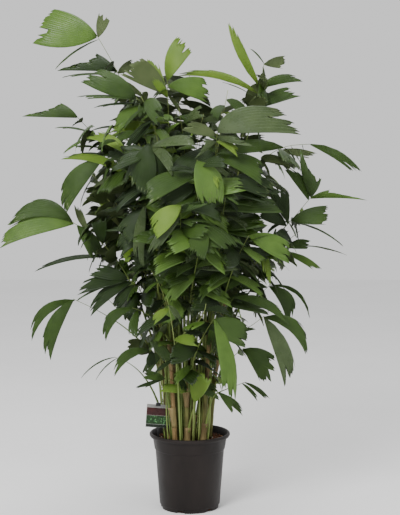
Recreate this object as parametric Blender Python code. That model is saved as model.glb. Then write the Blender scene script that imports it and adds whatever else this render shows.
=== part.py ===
"""Fishtail palm in a nursery pot.

A clump of thin canes stands in a black plastic pot filled with bark chips. Each cane carries
a few long-stalked fronds, and each frond carries wedge-shaped leaflets with ragged ends.
Metres, +Z up, front at -Y. The pot's flat underside lies at the origin.
"""

import math
import random
from collections import namedtuple

import bmesh
import bpy
from mathutils import Matrix, Vector
from mathutils.bvhtree import BVHTree

MM = 0.001
CLEAR = 0.3 * MM
NEAR = 0.6 * MM
UP = Vector((0, 0, 1))
AHEAD = Vector((0, 1, 0))

# The pot: a tapered tub with a foot, a collar and a rolled lip, as (radius, height).
POT_SIDES = 40
POT_WALL = 2 * MM
POT_FLOOR = 2.5 * MM
POT_OUTSIDE = [
    (0.0855, 0.0),
    (0.0870, 0.0110),
    (0.0898, 0.0125),
    (0.1025, 0.1760),
    (0.1050, 0.1785),
    (0.1105, 0.2120),
    (0.1175, 0.2140),
    (0.1200, 0.2185),
    (0.1195, 0.2235),
    (0.1170, 0.2255),
    (0.1135, 0.2250),
]
DRAIN_COUNT = 6
DRAIN_SIDES = 12
DRAIN_RADIUS = 0.014
DRAIN_SUNK = 0.005
DRAIN_FIRST_DEG = -108
DRAIN_REACH = (0.074, 0.100)

# The potting mix fills the pot to just under the lip.
SOIL_TOP = 0.2060
SOIL_GAP = 0.4 * MM

# The printed label hangs on a stake at the left of the clump.
LABEL_WIDTH = 0.072
LABEL_HEIGHT = 0.069
LABEL_THICK = 1.2 * MM
LABEL_CENTRE = Vector((-0.0925, -0.0385, 0.2810))
LABEL_TILT = math.radians(4)
STAKE_WIDTH = 0.007
STAKE_THICK = 0.003
CLIP_SIZE = Vector((0.014, 0.007, 0.009))

# The canes stand in a spiral, lean outwards and taper from a small flare at the soil.
CANES = 15
CANE_SIDES = 8
CLUMP_RADIUS = 0.070
CLUMP_CENTRE = Vector((-0.006, -0.004, 0.0))
CLUMP_TURN = math.radians(25)
GOLDEN_ANGLE = math.radians(137.508)
CANE_SPREAD = 1.35
CANE_FLARE = 9.0 * MM
CANE_FOOT = 7.2 * MM
CANE_TOP = 4.6 * MM
FLARE_HEIGHT = 0.015
CANE_LEAST = 0.40
CROWDING = 0.03

# A stalk is three-sided and thins from its foot to the rib's tip.
STALK_STEPS = 9
STALK_FOOT = 4.6 * MM
STALK_TIP = 1.9 * MM
SIDE_LEAN = math.radians(10)

# A leaflet's form: its outline, as (part of its length, part of its width) from the foot round.
FAN = [(0.40, 0.38), (0.82, 0.52), (0.95, 0.06), (1.00, -0.36), (0.48, -0.36)]
WEDGE = [(0.38, 0.42), (0.82, 0.50), (0.92, 0.10), (1.00, -0.24), (0.48, -0.48)]
BROAD = [(0.22, 0.50), (0.78, 0.44), (0.92, 0.06), (1.00, -0.34), (0.42, -0.36)]
LOBED = [(0.12, 0.30), (0.36, 0.58), (0.52, 0.14), (1.00, -0.04), (0.50, -0.30)]
SICKLE = [(0.30, 0.42), (0.70, 0.50), (0.95, 0.20), (1.00, -0.16), (0.52, -0.50)]
LOBED_MIDDLE = 0.45
MIDDLE = 0.58
LEAF_THICK = 0.012
LEAF_FOOT = 1.1 * MM
LEAF_ARCH = 0.06
LEAF_CUP = 0.10

# The crown that the leaflets between the named ones keep to, as (height, radius).
CROWN = [
    (0.30, 0.08),
    (0.45, 0.17),
    (0.62, 0.27),
    (0.80, 0.34),
    (1.15, 0.35),
    (1.27, 0.30),
    (1.34, 0.16),
]
CROWN_DEPTH = 1.35
FILLED_LENGTH = 0.32
TIP_KEPT = 2
SEED = 7

# Which way a leaflet's upper side looks.
VIEWER = Vector((0, -1, 0.35))
SKY = Vector((0, -0.25, 1))
BACK = Vector((0, 1, 0.35))

# A frond leaves its cane at a height and ends at a tip, where its rib rises by an angle.
# Its named leaflets are (distance back from the tip, angle as seen from the front, length,
# width, bow in hundredths of the length, side, form), in millimetres and degrees, and
# filling is how many more the rule adds.
Frond = namedtuple("Frond", "name leaves tip rise filling leaflets")
FRONDS = [
    Frond("top_left", 0.60, (-0.268, 0.00, 1.392), 58, 3, [
        (0, 170, 182, 148, 0, VIEWER, FAN),
        (4, 75, 70, 40, 0, BACK, FAN),
        (10, 213, 155, 30, 8, SKY, WEDGE),
        (116, 178, 175, 72, 10, VIEWER, LOBED),
        (122, 30, 68, 30, 4, BACK, WEDGE),
        (132, 181, 168, 30, 4, SKY, WEDGE),
    ]),
    Frond("upper_left_fan", 0.58, (-0.151, -0.10, 1.211), 40, 10, [
        (0, 157, 165, 74, 6, VIEWER, WEDGE),
        (12, 176, 178, 36, 5, SKY, WEDGE),
        (24, 184, 135, 40, 3, SKY, WEDGE),
        (34, 222, 108, 40, 12, VIEWER, SICKLE),
    ]),
    Frond("left_upper", 0.52, (-0.330, 0.02, 1.159), 45, 5, [
        (0, 177, 165, 64, 8, VIEWER, LOBED),
        (62, 172, 110, 34, 8, SKY, WEDGE),
        (78, 206, 108, 28, 14, SKY, SICKLE),
        (124, 174, 100, 26, 5, SKY, WEDGE),
        (148, 180, 130, 24, 4, SKY, WEDGE),
        (138, 50, 62, 56, 0, VIEWER, FAN),
        (56, 13, 84, 26, 5, SKY, WEDGE),
    ]),
    Frond("left_drooping", 0.48, (-0.250, -0.08, 1.036), 15, 8, [
        (0, 233, 188, 60, 14, VIEWER, SICKLE),
        (112, 160, 222, 28, 12, VIEWER, SICKLE),
        (85, 201, 108, 22, 4, BACK, WEDGE),
    ]),
    Frond("left_wide", 0.42, (-0.341, -0.04, 0.853), 28, 5, [
        (0, 178, 185, 60, 24, VIEWER, SICKLE),
        (8, 192, 232, 74, 12, VIEWER, WEDGE),
        (16, 303, 128, 48, 5, VIEWER, WEDGE),
        (55, 113, 92, 24, 4, BACK, WEDGE),
        (165, 188, 240, 30, 12, SKY, SICKLE),
        (110, 97, 85, 50, 0, VIEWER, FAN),
    ]),
    Frond("left_lower_fan", 0.40, (-0.180, -0.08, 0.694), 40, 6, [
        (0, 169, 112, 42, 5, VIEWER, WEDGE),
        (7, 193, 158, 40, 7, VIEWER, WEDGE),
        (14, 198, 165, 34, 10, SKY, SICKLE),
        (21, 216, 155, 42, 12, VIEWER, SICKLE),
        (32, 230, 95, 36, 6, VIEWER, WEDGE),
    ]),
    Frond("left_low_long", 0.30, (-0.341, -0.03, 0.627), 25, 0, [
        (0, 246, 190, 44, 12, VIEWER, SICKLE),
        (8, 221, 178, 30, 20, VIEWER, SICKLE),
    ]),
    Frond("left_low_inner", 0.36, (-0.162, -0.14, 0.614), 15, 3, [
        (0, 227, 120, 34, 22, VIEWER, SICKLE),
    ]),
    Frond("low_left_arch", 0.30, (-0.116, -0.10, 0.487), 10, 0, [
        (0, 213, 126, 32, 20, VIEWER, SICKLE),
        (10, 262, 50, 28, 0, VIEWER, WEDGE),
    ]),
    Frond("low_left_thin", 0.26, (-0.226, 0.02, 0.447), 15, 0, [
        (0, 210, 118, 13, 14, SKY, SICKLE),
        (10, 225, 92, 11, 8, SKY, SICKLE),
    ]),
    Frond("low_left_small", 0.28, (-0.073, -0.12, 0.409), 10, 0, [
        (0, 174, 62, 28, 5, VIEWER, WEDGE),
        (8, 195, 90, 18, 10, SKY, SICKLE),
    ]),
    Frond("top_centre", 0.62, (-0.065, -0.02, 1.264), 85, 11, [
        (0, 66, 132, 68, 6, VIEWER, FAN),
        (16, 352, 128, 72, 5, VIEWER, FAN),
        (52, 113, 130, 40, 5, VIEWER, WEDGE),
        (165, 178, 188, 40, 14, VIEWER, SICKLE),
    ]),
    Frond("top_right", 0.60, (0.219, 0.03, 1.317), 80, 7, [
        (0, 131, 62, 16, 5, SKY, WEDGE),
        (4, 12, 68, 40, 0, BACK, FAN),
        (70, 115, 212, 28, -4, VIEWER, SICKLE),
        (77, 12, 132, 34, 12, VIEWER, SICKLE),
        (84, 328, 46, 24, 0, VIEWER, FAN),
        (91, 167, 246, 27, 10, VIEWER, SICKLE),
        (99, 268, 42, 16, 0, VIEWER, WEDGE),
        (108, 153, 115, 14, 4, SKY, WEDGE),
        (135, 20, 142, 44, 8, VIEWER, WEDGE),
    ]),
    Frond("front_fan", 0.55, (0.076, -0.30, 1.108), 55, 9, [
        (0, 8, 225, 98, 8, VIEWER, BROAD),
        (10, 166, 95, 36, 4, BACK, WEDGE),
    ]),
    Frond("right_upper", 0.55, (0.356, 0.03, 1.080), -5, 8, [
        (0, 331, 176, 32, 6, VIEWER, WEDGE),
        (100, 355, 115, 26, 0, BACK, WEDGE),
        (80, 184, 180, 44, 6, VIEWER, WEDGE),
    ]),
    Frond("right_middle", 0.46, (0.357, 0.00, 0.925), 52, 5, [
        (0, 101, 150, 68, 4, VIEWER, LOBED),
        (6, 0, 170, 34, 6, VIEWER, LOBED),
        (12, 124, 118, 34, 10, VIEWER, SICKLE),
    ]),
    Frond("right_middle_inner", 0.44, (0.293, -0.08, 0.861), 50, 6, [
        (0, 15, 118, 66, 0, VIEWER, FAN),
        (4, 208, 78, 16, 22, SKY, SICKLE),
        (8, 337, 170, 14, 12, SKY, SICKLE),
        (12, 117, 124, 26, 0, VIEWER, WEDGE),
        (16, 97, 118, 26, 0, VIEWER, WEDGE),
        (22, 142, 98, 56, 0, VIEWER, FAN),
    ]),
    Frond("right_lower", 0.44, (0.290, 0.04, 0.775), 45, 6, [
        (0, 12, 76, 30, 4, VIEWER, WEDGE),
        (6, 356, 184, 14, 10, SKY, SICKLE),
        (20, 336, 128, 22, 4, VIEWER, WEDGE),
    ]),
    Frond("right_front", 0.44, (0.167, -0.20, 0.825), 50, 8, [
        (0, 332, 138, 58, 8, VIEWER, WEDGE),
    ]),
    Frond("right_arch", 0.36, (0.242, 0.07, 0.659), 45, 5, [
        (0, 322, 155, 14, 22, VIEWER, SICKLE),
        (6, 300, 122, 44, 22, VIEWER, SICKLE),
        (12, 183, 138, 32, 8, VIEWER, SICKLE),
    ]),
    Frond("right_low_front", 0.36, (0.128, -0.12, 0.643), 50, 6, [
        (0, 337, 176, 32, 12, VIEWER, SICKLE),
    ]),
    Frond("right_low_fan", 0.34, (0.216, -0.08, 0.583), 40, 4, [
        (0, 290, 215, 50, 8, VIEWER, WEDGE),
        (6, 321, 168, 38, 22, VIEWER, SICKLE),
    ]),
    Frond("right_low_inner", 0.30, (0.161, -0.02, 0.481), 35, 4, [
        (0, 306, 128, 40, 6, VIEWER, WEDGE),
        (8, 334, 115, 50, 5, VIEWER, WEDGE),
    ]),
    Frond("front_low_long", 0.36, (0.070, -0.22, 0.595), 40, 4, [
        (0, 282, 234, 48, 5, VIEWER, WEDGE),
        (8, 329, 116, 70, 5, VIEWER, WEDGE),
    ]),
    Frond("low_right_small", 0.25, (0.085, -0.12, 0.368), 20, 0, [
        (0, 307, 74, 24, 8, VIEWER, WEDGE),
        (8, 321, 100, 22, 6, VIEWER, WEDGE),
    ]),
    Frond("low_right_thin", 0.26, (0.164, -0.02, 0.379), 25, 0, [
        (0, 326, 90, 14, 5, VIEWER, WEDGE),
        (10, 314, 70, 12, 5, VIEWER, WEDGE),
    ]),
    Frond("sprout", 0.24, (0.014, -0.10, 0.335), 75, 0, [
        (0, 77, 100, 66, 0, VIEWER, FAN),
    ]),
    Frond("front_left_dark", 0.50, (-0.108, -0.26, 1.082), 60, 9, [
        (0, 259, 145, 100, 0, VIEWER, FAN),
        (12, 293, 108, 26, 5, VIEWER, WEDGE),
    ]),
    Frond("front_middle", 0.50, (0.023, -0.34, 1.033), 50, 8, [
        (0, 293, 130, 84, 4, VIEWER, WEDGE),
    ]),
    Frond("front_bright", 0.46, (-0.020, -0.34, 0.914), 50, 8, [
        (0, 226, 110, 58, 8, VIEWER, WEDGE),
    ]),
    Frond("front_centre", 0.42, (0.045, -0.30, 0.870), 50, 8, [
        (0, 255, 104, 68, 0, VIEWER, FAN),
    ]),
    Frond("left_front", 0.46, (-0.123, -0.18, 0.913), 60, 8, [
        (0, 266, 174, 34, 6, VIEWER, WEDGE),
        (8, 186, 130, 28, 6, SKY, WEDGE),
        (16, 235, 114, 64, 4, VIEWER, WEDGE),
    ]),
    Frond("right_front_dark", 0.50, (0.110, -0.24, 0.978), 55, 9, [
        (0, 350, 135, 62, 4, VIEWER, WEDGE),
    ]),
]

# The fronds behind fill a half circle, in rows of height, with leaflets by the rule alone.
BACK_FRONDS = 9
BACK_FIRST_DEG = 14
BACK_LAST_DEG = 166
BACK_TIPS = [(0.34, 0.82), (0.24, 1.24), (0.38, 1.02), (0.28, 0.64), (0.14, 1.29)]
BACK_RISE = 42
BACK_LEAVES = 0.50
BACK_FILLING = 12

Cane = namedtuple("Cane", "number foot height")
Leaf = namedtuple("Leaf", "foot way side length width bow form hand")


def clear_scene():
    for thing in list(bpy.data.objects):
        bpy.data.objects.remove(thing)


def material(name, colour, roughness):
    made = bpy.data.materials.new(name)
    made.use_nodes = True
    shader = made.node_tree.nodes["Principled BSDF"]
    shader.inputs["Base Color"].default_value = (*colour, 1)
    shader.inputs["Roughness"].default_value = roughness
    shader.inputs["Metallic"].default_value = 0
    return made


def solid(name, shape, finish):
    """An object made of a shape, which is its points and its faces."""
    mesh = bpy.data.meshes.new(name)
    mesh.from_pydata([tuple(p) for p in shape[0]], [], shape[1])
    mesh.materials.append(finish)
    made = bpy.data.objects.new(name, mesh)
    bpy.context.scene.collection.objects.link(made)
    return made


def drop_scraps(mesh):
    """Keeps a mesh's largest shell of faces that share edges, without scraps and hollows."""
    work = bmesh.new()
    work.from_mesh(mesh)
    left = set(work.faces)
    shells = []
    while left:
        shell = {left.pop()}
        rim = list(shell)
        while rim:
            near = {face for edge in rim.pop().edges for face in edge.link_faces} - shell
            shell |= near
            rim += near
        left -= shell
        shells.append(shell)
    largest = max(shells, key=len)
    spare = [face for shell in shells if shell is not largest for face in shell]
    bmesh.ops.delete(work, geom=spare, context="FACES")
    work.to_mesh(mesh)
    work.free()


def combine(target, others, operation):
    """Applies one Boolean of the target with the other objects, which are then removed."""
    group = bpy.data.collections.new("joined")
    for other in others:
        group.objects.link(other)
    boolean = target.modifiers.new("Join", "BOOLEAN")
    boolean.operation = operation
    boolean.operand_type = "COLLECTION"
    boolean.collection = group
    boolean.solver = "EXACT"
    graph = bpy.context.evaluated_depsgraph_get()
    result = bpy.data.meshes.new_from_object(target.evaluated_get(graph))
    target.modifiers.clear()
    target.data = result
    drop_scraps(result)
    for other in others:
        bpy.data.objects.remove(other)
    bpy.data.collections.remove(group)


def turned(profile, sides):
    """A closed body turned about Z from a profile that runs from its underside to its top."""
    points = [Vector((0, 0, profile[0][1]))]
    for radius, height in profile:
        for k in range(sides):
            angle = math.tau * k / sides
            points.append(Vector((radius * math.cos(angle), radius * math.sin(angle), height)))
    points.append(Vector((0, 0, profile[-1][1])))
    faces = []
    for k in range(sides):
        after = (k + 1) % sides
        faces.append((0, 1 + after, 1 + k))
        for ring in range(len(profile) - 1):
            low = 1 + ring * sides
            high = low + sides
            faces.append((low + k, low + after, high + after, high + k))
        last = 1 + (len(profile) - 1) * sides
        faces.append((last + k, last + after, len(points) - 1))
    return points, faces


def tube(centres, rings, sides):
    """A closed tube: each ring is a pair of arms from its centre, sized by the tube's radius."""
    points = []
    for centre, (across, over) in zip(centres, rings):
        for k in range(sides):
            angle = math.tau * k / sides
            points.append(centre + across * math.cos(angle) + over * math.sin(angle))
    faces = [tuple(reversed(range(sides)))]
    for ring in range(len(centres) - 1):
        low = ring * sides
        for k in range(sides):
            after = (k + 1) % sides
            faces.append((low + k, low + after, low + sides + after, low + sides + k))
    faces.append(tuple(range(len(points) - sides, len(points))))
    return points, faces


def block(size, centre, turn=0.0):
    """A box turned about Y."""
    around = Matrix.Rotation(turn, 3, "Y")
    corners = [
        centre + around @ Vector((x * size.x / 2, y * size.y / 2, z * size.z / 2))
        for z in (-1, 1)
        for x, y in ((-1, -1), (1, -1), (1, 1), (-1, 1))
    ]
    faces = [(3, 2, 1, 0), (4, 5, 6, 7), (0, 1, 5, 4), (1, 2, 6, 5), (2, 3, 7, 6), (3, 0, 4, 7)]
    return corners, faces


class Space:
    """What has been placed so far, so that a new piece can be kept clear of it."""

    def __init__(self):
        self.placed = []

    def surface(self, shape):
        points, faces = shape
        low = Vector(min(p[i] for p in points) for i in range(3))
        high = Vector(max(p[i] for p in points) for i in range(3))
        return low, high, BVHTree.FromPolygons(points, faces)

    def add(self, owner, shape):
        self.placed.append((owner, *self.surface(shape)))

    def free(self, owner, shape):
        """True if a shape crosses nothing but its owner's own pieces."""
        low, high, tree = self.surface(shape)
        for other, other_low, other_high, other_tree in self.placed:
            apart = any(low[i] > other_high[i] or high[i] < other_low[i] for i in range(3))
            if other != owner and not apart and tree.overlap(other_tree):
                return False
        return True


def pot_inside(gap):
    """The pot's inner face from its floor to its collar, drawn in by a gap."""
    foot, ring, step = POT_OUTSIDE[:3]
    levels = [(foot[0], POT_FLOOR), (ring[0], step[1] + POT_WALL), *POT_OUTSIDE[3:6]]
    return [(radius - POT_WALL - gap, height) for radius, height in levels]


def build_pot():
    finish = material("Pot", (0.026, 0.022, 0.020), 0.42)
    inside = list(reversed(pot_inside(0.0)))
    pot = solid("pot", turned(POT_OUTSIDE + inside, POT_SIDES), finish)
    drains = []
    near, far = DRAIN_REACH
    for k in range(DRAIN_COUNT):
        angle = math.radians(DRAIN_FIRST_DEG) + math.tau * k / DRAIN_COUNT
        out = Vector((math.cos(angle), math.sin(angle), 0))
        side = Vector((-out.y, out.x, 0)) * DRAIN_RADIUS
        ends = [out * near - UP * DRAIN_SUNK, out * far - UP * DRAIN_SUNK]
        drain = tube(ends, [(side, UP * DRAIN_RADIUS)] * 2, DRAIN_SIDES)
        drains.append(solid("drain", drain, finish))
    combine(pot, drains, "DIFFERENCE")


def build_soil():
    """The mix follows the inside of the pot, up to its own level."""
    (floor_r, floor_z), *sides, (low_r, low_z), (high_r, high_z) = pot_inside(SOIL_GAP)
    top_r = low_r + (high_r - low_r) * (SOIL_TOP - low_z) / (high_z - low_z)
    profile = [(floor_r, floor_z + CLEAR), *sides, (low_r, low_z), (top_r, SOIL_TOP)]
    finish = material("Mix", (0.060, 0.026, 0.015), 0.95)
    solid("potting_mix", turned(profile, POT_SIDES), finish)


def label_shapes():
    card = block(Vector((LABEL_WIDTH, LABEL_THICK, LABEL_HEIGHT)), LABEL_CENTRE, LABEL_TILT)
    top = LABEL_CENTRE.z + LABEL_HEIGHT / 2
    foot = SOIL_TOP + CLEAR
    behind = LABEL_CENTRE.y + LABEL_THICK / 4 + STAKE_THICK / 2
    middle = Vector((LABEL_CENTRE.x, behind, (top + foot) / 2))
    stake = block(Vector((STAKE_WIDTH, STAKE_THICK, top - foot)), middle)
    clip = block(CLIP_SIZE, Vector((LABEL_CENTRE.x, behind - STAKE_THICK / 4, top)))
    return card, stake, clip


def build_label():
    card, stake, clip = label_shapes()
    finish = material("Label", (0.10, 0.03, 0.03), 0.4)
    label = solid("label", card, finish)
    combine(label, [solid("stake", stake, finish), solid("clip", clip, finish)], "UNION")


def cane_feet():
    """Where the canes stand on the mix, in a spiral from the middle."""
    feet = []
    for k in range(CANES):
        radius = CLUMP_RADIUS * math.sqrt((k + 0.5) / CANES)
        angle = CLUMP_TURN + k * GOLDEN_ANGLE
        feet.append(Vector((radius * math.cos(angle), radius * math.sin(angle), 0)))
    return feet


def cane_at(cane, height):
    """The middle of a cane at a height above the ground."""
    spread = 1 + CANE_SPREAD * (height - SOIL_TOP)
    spot = cane.foot * spread + CLUMP_CENTRE
    return Vector((spot.x, spot.y, height))


def cane_radius(cane, height):
    part = (height - SOIL_TOP - FLARE_HEIGHT) / (cane.height - SOIL_TOP - FLARE_HEIGHT)
    return CANE_FLARE if part < 0 else CANE_FOOT + (CANE_TOP - CANE_FOOT) * part


def cane_shape(cane):
    foot = SOIL_TOP + CLEAR
    bend = SOIL_TOP + FLARE_HEIGHT
    levels = [foot, bend, cane.height]
    radii = [CANE_FLARE, CANE_FOOT, CANE_TOP]
    rings = [(Vector((r, 0, 0)), Vector((0, r, 0))) for r in radii]
    return tube([cane_at(cane, level) for level in levels], rings, CANE_SIDES)


def back_fronds():
    """The fronds on the far side, which the front ones hide."""
    made = []
    for k in range(BACK_FRONDS):
        turn = (BACK_LAST_DEG - BACK_FIRST_DEG) * k / (BACK_FRONDS - 1)
        angle = math.radians(BACK_FIRST_DEG + turn)
        reach, height = BACK_TIPS[k % len(BACK_TIPS)]
        tip = (reach * math.cos(angle), reach * math.sin(angle), height)
        leaves = min(BACK_LEAVES, height - 0.25)
        made.append(Frond(f"back_{k + 1}", leaves, tip, BACK_RISE, BACK_FILLING, []))
    return made


def share_out(fronds):
    """Gives each frond its canes in order of choice, and each cane the height of its top frond."""
    feet = cane_feet()
    carried = [[] for _ in feet]
    order = {}
    for frond in fronds:
        aim = Vector((frond.tip[0], frond.tip[1], 0)).normalized() * CLUMP_RADIUS * 0.8
        costs = [(foot - aim).length + CROWDING * len(carried[k]) for k, foot in enumerate(feet)]
        order[frond.name] = sorted(range(CANES), key=lambda k: costs[k])
        carried[order[frond.name][0]].append(frond)
    heights = [max([frond.leaves for frond in held] + [CANE_LEAST]) for held in carried]
    canes = [Cane(k, foot, height) for k, (foot, height) in enumerate(zip(feet, heights))]
    choices = {name: [canes[k] for k in ranked] for name, ranked in order.items()}
    tops = {max(held, key=lambda frond: frond.leaves).name for held in carried if held}
    return canes, choices, tops


def curve(start, start_way, end, end_way, steps):
    """Points at even steps along a bend from start to end."""
    span = (end - start).length
    a = start + start_way * span * 0.42
    b = end - end_way * span * 0.34
    fine = []
    for k in range(8 * steps + 1):
        t = k / (8 * steps)
        u = 1 - t
        fine.append(start * u**3 + a * 3 * u * u * t + b * 3 * u * t * t + end * t**3)
    lengths = [0.0]
    for before, after in zip(fine, fine[1:]):
        lengths.append(lengths[-1] + (after - before).length)
    points = []
    for k in range(steps + 1):
        wanted = lengths[-1] * k / steps
        at = min(max(i for i, value in enumerate(lengths) if value <= wanted + 1e-9), len(fine) - 2)
        part = (wanted - lengths[at]) / (lengths[at + 1] - lengths[at])
        points.append(fine[at].lerp(fine[at + 1], part))
    return points


def stalk_route(frond, cane, on_top, swing, lower):
    """The middle line of a frond's stalk and rib."""
    tip = Vector(frond.tip)
    height = cane.height if on_top else min(frond.leaves, cane.height - 0.03) - lower
    middle = cane_at(cane, height)
    away = Vector((tip.x - middle.x, tip.y - middle.y, 0)).normalized()
    away.rotate(Matrix.Rotation(swing, 3, "Z"))
    if on_top:
        start = middle + UP * CLEAR
        way = UP.copy()
    else:
        start = middle + away * (cane_radius(cane, height) + STALK_FOOT + CLEAR)
        way = (cane_at(cane, height + 0.1) - middle).normalized()
        way = (way * math.cos(SIDE_LEAN) + away * math.sin(SIDE_LEAN)).normalized()
    flat = Vector((tip.x - start.x, tip.y - start.y, 0)).normalized()
    rise = math.radians(frond.rise)
    end_way = flat * math.cos(rise) + UP * math.sin(rise)
    return curve(start, way, tip, end_way, STALK_STEPS), away


def stalk_shape(points, away, grown=0.0):
    """A three-sided tube along the stalk, with one corner towards the cane."""
    rings = []
    arm = -away
    for k in range(len(points)):
        before = points[max(k - 1, 0)]
        after = points[min(k + 1, len(points) - 1)]
        way = (after - before).normalized()
        arm = (arm - way * arm.dot(way)).normalized()
        radius = STALK_FOOT + (STALK_TIP - STALK_FOOT) * min(1.0, 1.4 * k / (len(points) - 1)) + grown
        rings.append((arm * radius, way.cross(arm) * radius))
    return tube(points, rings, 3)


def place_stalk(frond, canes, on_top, space):
    """The first route of a few, from the nearest cane that has room, that crosses nothing."""
    for cane in canes[:1] if on_top else canes[:6]:
        for lower in (0.0, 0.03, 0.06, 0.09):
            for swing in (0, 18, -18, 36, -36, 54, -54, 75, -75):
                route, away = stalk_route(frond, cane, on_top, math.radians(swing), lower)
                if space.free(frond.name, stalk_shape(route[1:], away, NEAR)):
                    if space.free(frond.name, stalk_shape(route, away)):
                        return route, away
    return None


def along(route, back):
    """The place and direction on a route at a distance back from its tip."""
    left = back
    for k in range(len(route) - 1, 0, -1):
        step = (route[k] - route[k - 1]).length
        if left <= step or k == 1:
            way = (route[k] - route[k - 1]).normalized()
            return route[k] - way * min(left, step), way
        left -= step


def leaf_shape(leaf, grown=0.0):
    """A thin arched blade, its edge sharp and its foot a small wedge inside the rib."""
    normal = (leaf.side - leaf.way * leaf.side.dot(leaf.way)).normalized()
    across = normal.cross(leaf.way)
    outwards = UP + Vector((leaf.foot.x, leaf.foot.y, 0)).normalized() * 0.5
    rising = 1 if across.dot(outwards) > 0 else -1
    hand = rising if leaf.bow > LEAF_ARCH else leaf.hand
    half = max(LEAF_THICK * leaf.length / 2, 0.7 * MM) + grown
    wider = 1 + 0.5 * grown / (0.01 + grown)

    def spot(part, over):
        swell = 4 * part * (1 - part) * leaf.length
        cup = LEAF_CUP * leaf.width * (2 * over) ** 2
        sideways = over * leaf.width * hand * wider + swell * leaf.bow * rising
        return (
            leaf.foot + leaf.way * part * leaf.length * wider
            + across * sideways + normal * (swell * LEAF_ARCH - cup)
        )

    edge = [spot(part, over) for part, over in leaf.form]
    middle = spot(LOBED_MIDDLE if leaf.form is LOBED else MIDDLE, 0.0)
    points = [leaf.foot + normal * LEAF_FOOT / 2, leaf.foot - normal * LEAF_FOOT / 2, *edge]
    points += [middle + normal * half, middle - normal * half]
    top, low = len(points) - 2, len(points) - 1
    faces = [(0, 2, top), (len(edge) + 1, 0, top), (2, 1, low), (1, len(edge) + 1, low)]
    faces += [(k, k + 1, top) for k in range(2, len(edge) + 1)]
    faces += [(k + 1, k, low) for k in range(2, len(edge) + 1)]
    faces += [(0, 1, 2), (1, 0, len(edge) + 1)]
    if hand > 0:
        faces = [tuple(reversed(face)) for face in faces]
    return points, faces


def beyond_foot(leaf):
    """The same leaflet without the part next to its rib, where its neighbours meet it."""
    return leaf._replace(foot=leaf.foot + leaf.way * leaf.length * 0.3, length=leaf.length * 0.7)


def crown_radius(height):
    for (low, r_low), (high, r_high) in zip(CROWN, CROWN[1:]):
        if low <= height <= high:
            return r_low + (r_high - r_low) * (height - low) / (high - low)
    return 0.0


def in_crown(spot):
    radius = crown_radius(spot.z)
    return (spot.x**2 + (spot.y / CROWN_DEPTH) ** 2) ** 0.5 < radius


def fits(frond, leaf, space, own):
    """True if a leaflet crosses no other frond, nor its neighbours beyond their feet."""
    if own.free(None, leaf_shape(beyond_foot(leaf))):
        return space.free(frond.name, leaf_shape(leaf, NEAR))
    return False


def put(frond, leaf, space, own):
    own.add("leaflet", leaf_shape(beyond_foot(leaf)))
    space.add(frond.name, leaf_shape(leaf))
    return leaf


def named_leaflets(frond, route, space, own):
    """The leaflets that give the crown its outline, tilted until they cross nothing."""
    grown = []
    for k, (back, aim, length, width, bow, side, form) in enumerate(frond.leaflets):
        foot = along(route, max(back, TIP_KEPT) * MM)[0]
        flat = Vector((math.cos(math.radians(aim)), 0, math.sin(math.radians(aim))))
        for lean in (0, 7, -7, 14, -14, 21, -21, 28, -28, 35, -35):
            way = flat * math.cos(math.radians(lean)) - AHEAD * math.sin(math.radians(lean))
            leaf = Leaf(foot, way, side, length * MM, width * MM, bow / 100, form, hand_of(k))
            if fits(frond, leaf, space, own):
                grown.append(put(frond, leaf, space, own))
                break
    return grown


def hand_of(k):
    return 1 if k % 2 else -1


def filling_leaflets(frond, route, space, own, chance):
    """Leaflets on both sides of the rib that hang outwards and stay inside the crown."""
    grown = []
    for k in range(frond.filling):
        for _ in range(14):
            back = 0.012 + FILLED_LENGTH * (k + chance.random()) / frond.filling
            foot, rib = along(route, back)
            side_way = rib.cross(UP).normalized() * hand_of(k)
            outwards = Vector((foot.x, foot.y, 0)).normalized()
            off = math.radians(chance.uniform(40, 78))
            way = rib * math.cos(off) + side_way * math.sin(off) - UP * chance.uniform(0.15, 0.85)
            way.normalize()
            side = UP * chance.uniform(0.3, 0.9) + outwards * chance.uniform(0.5, 1.0)
            length = chance.uniform(0.095, 0.165)
            width = length * chance.uniform(0.32, 0.52)
            form = chance.choice((FAN, WEDGE, WEDGE, BROAD, LOBED, SICKLE))
            bow = chance.uniform(0.02, 0.14)
            leaf = Leaf(foot, way, side, length, width, bow, form, chance.choice((-1, 1)))
            if in_crown(foot + way * length) and fits(frond, leaf, space, own):
                grown.append(put(frond, leaf, space, own))
                break
    return grown


def build_canes(canes, space):
    finish = material("Cane", (0.26, 0.22, 0.07), 0.5)
    for cane in canes:
        shape = cane_shape(cane)
        space.add(f"cane_{cane.number}", shape)
        solid(f"cane_{cane.number + 1}", shape, finish)


def place_stalks(fronds, choices, tops, space):
    """The stalks that end their canes come first, then those that stand beside one."""
    routes = {}
    for frond in sorted(fronds, key=lambda f: f.name not in tops):
        found = place_stalk(frond, choices[frond.name], frond.name in tops, space)
        if found:
            routes[frond.name] = found
            space.add(frond.name, stalk_shape(*found))
    return routes


def place_leaflets(fronds, routes, space):
    """All the named leaflets have their places before the rule fills in between."""
    own = {frond.name: Space() for frond in fronds}
    chance = random.Random(SEED)
    leaves = {}
    for frond in fronds:
        route = routes[frond.name][0]
        leaves[frond.name] = named_leaflets(frond, route, space, own[frond.name])
    for frond in fronds:
        route = routes[frond.name][0]
        leaves[frond.name] += filling_leaflets(frond, route, space, own[frond.name], chance)
    return leaves


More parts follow.
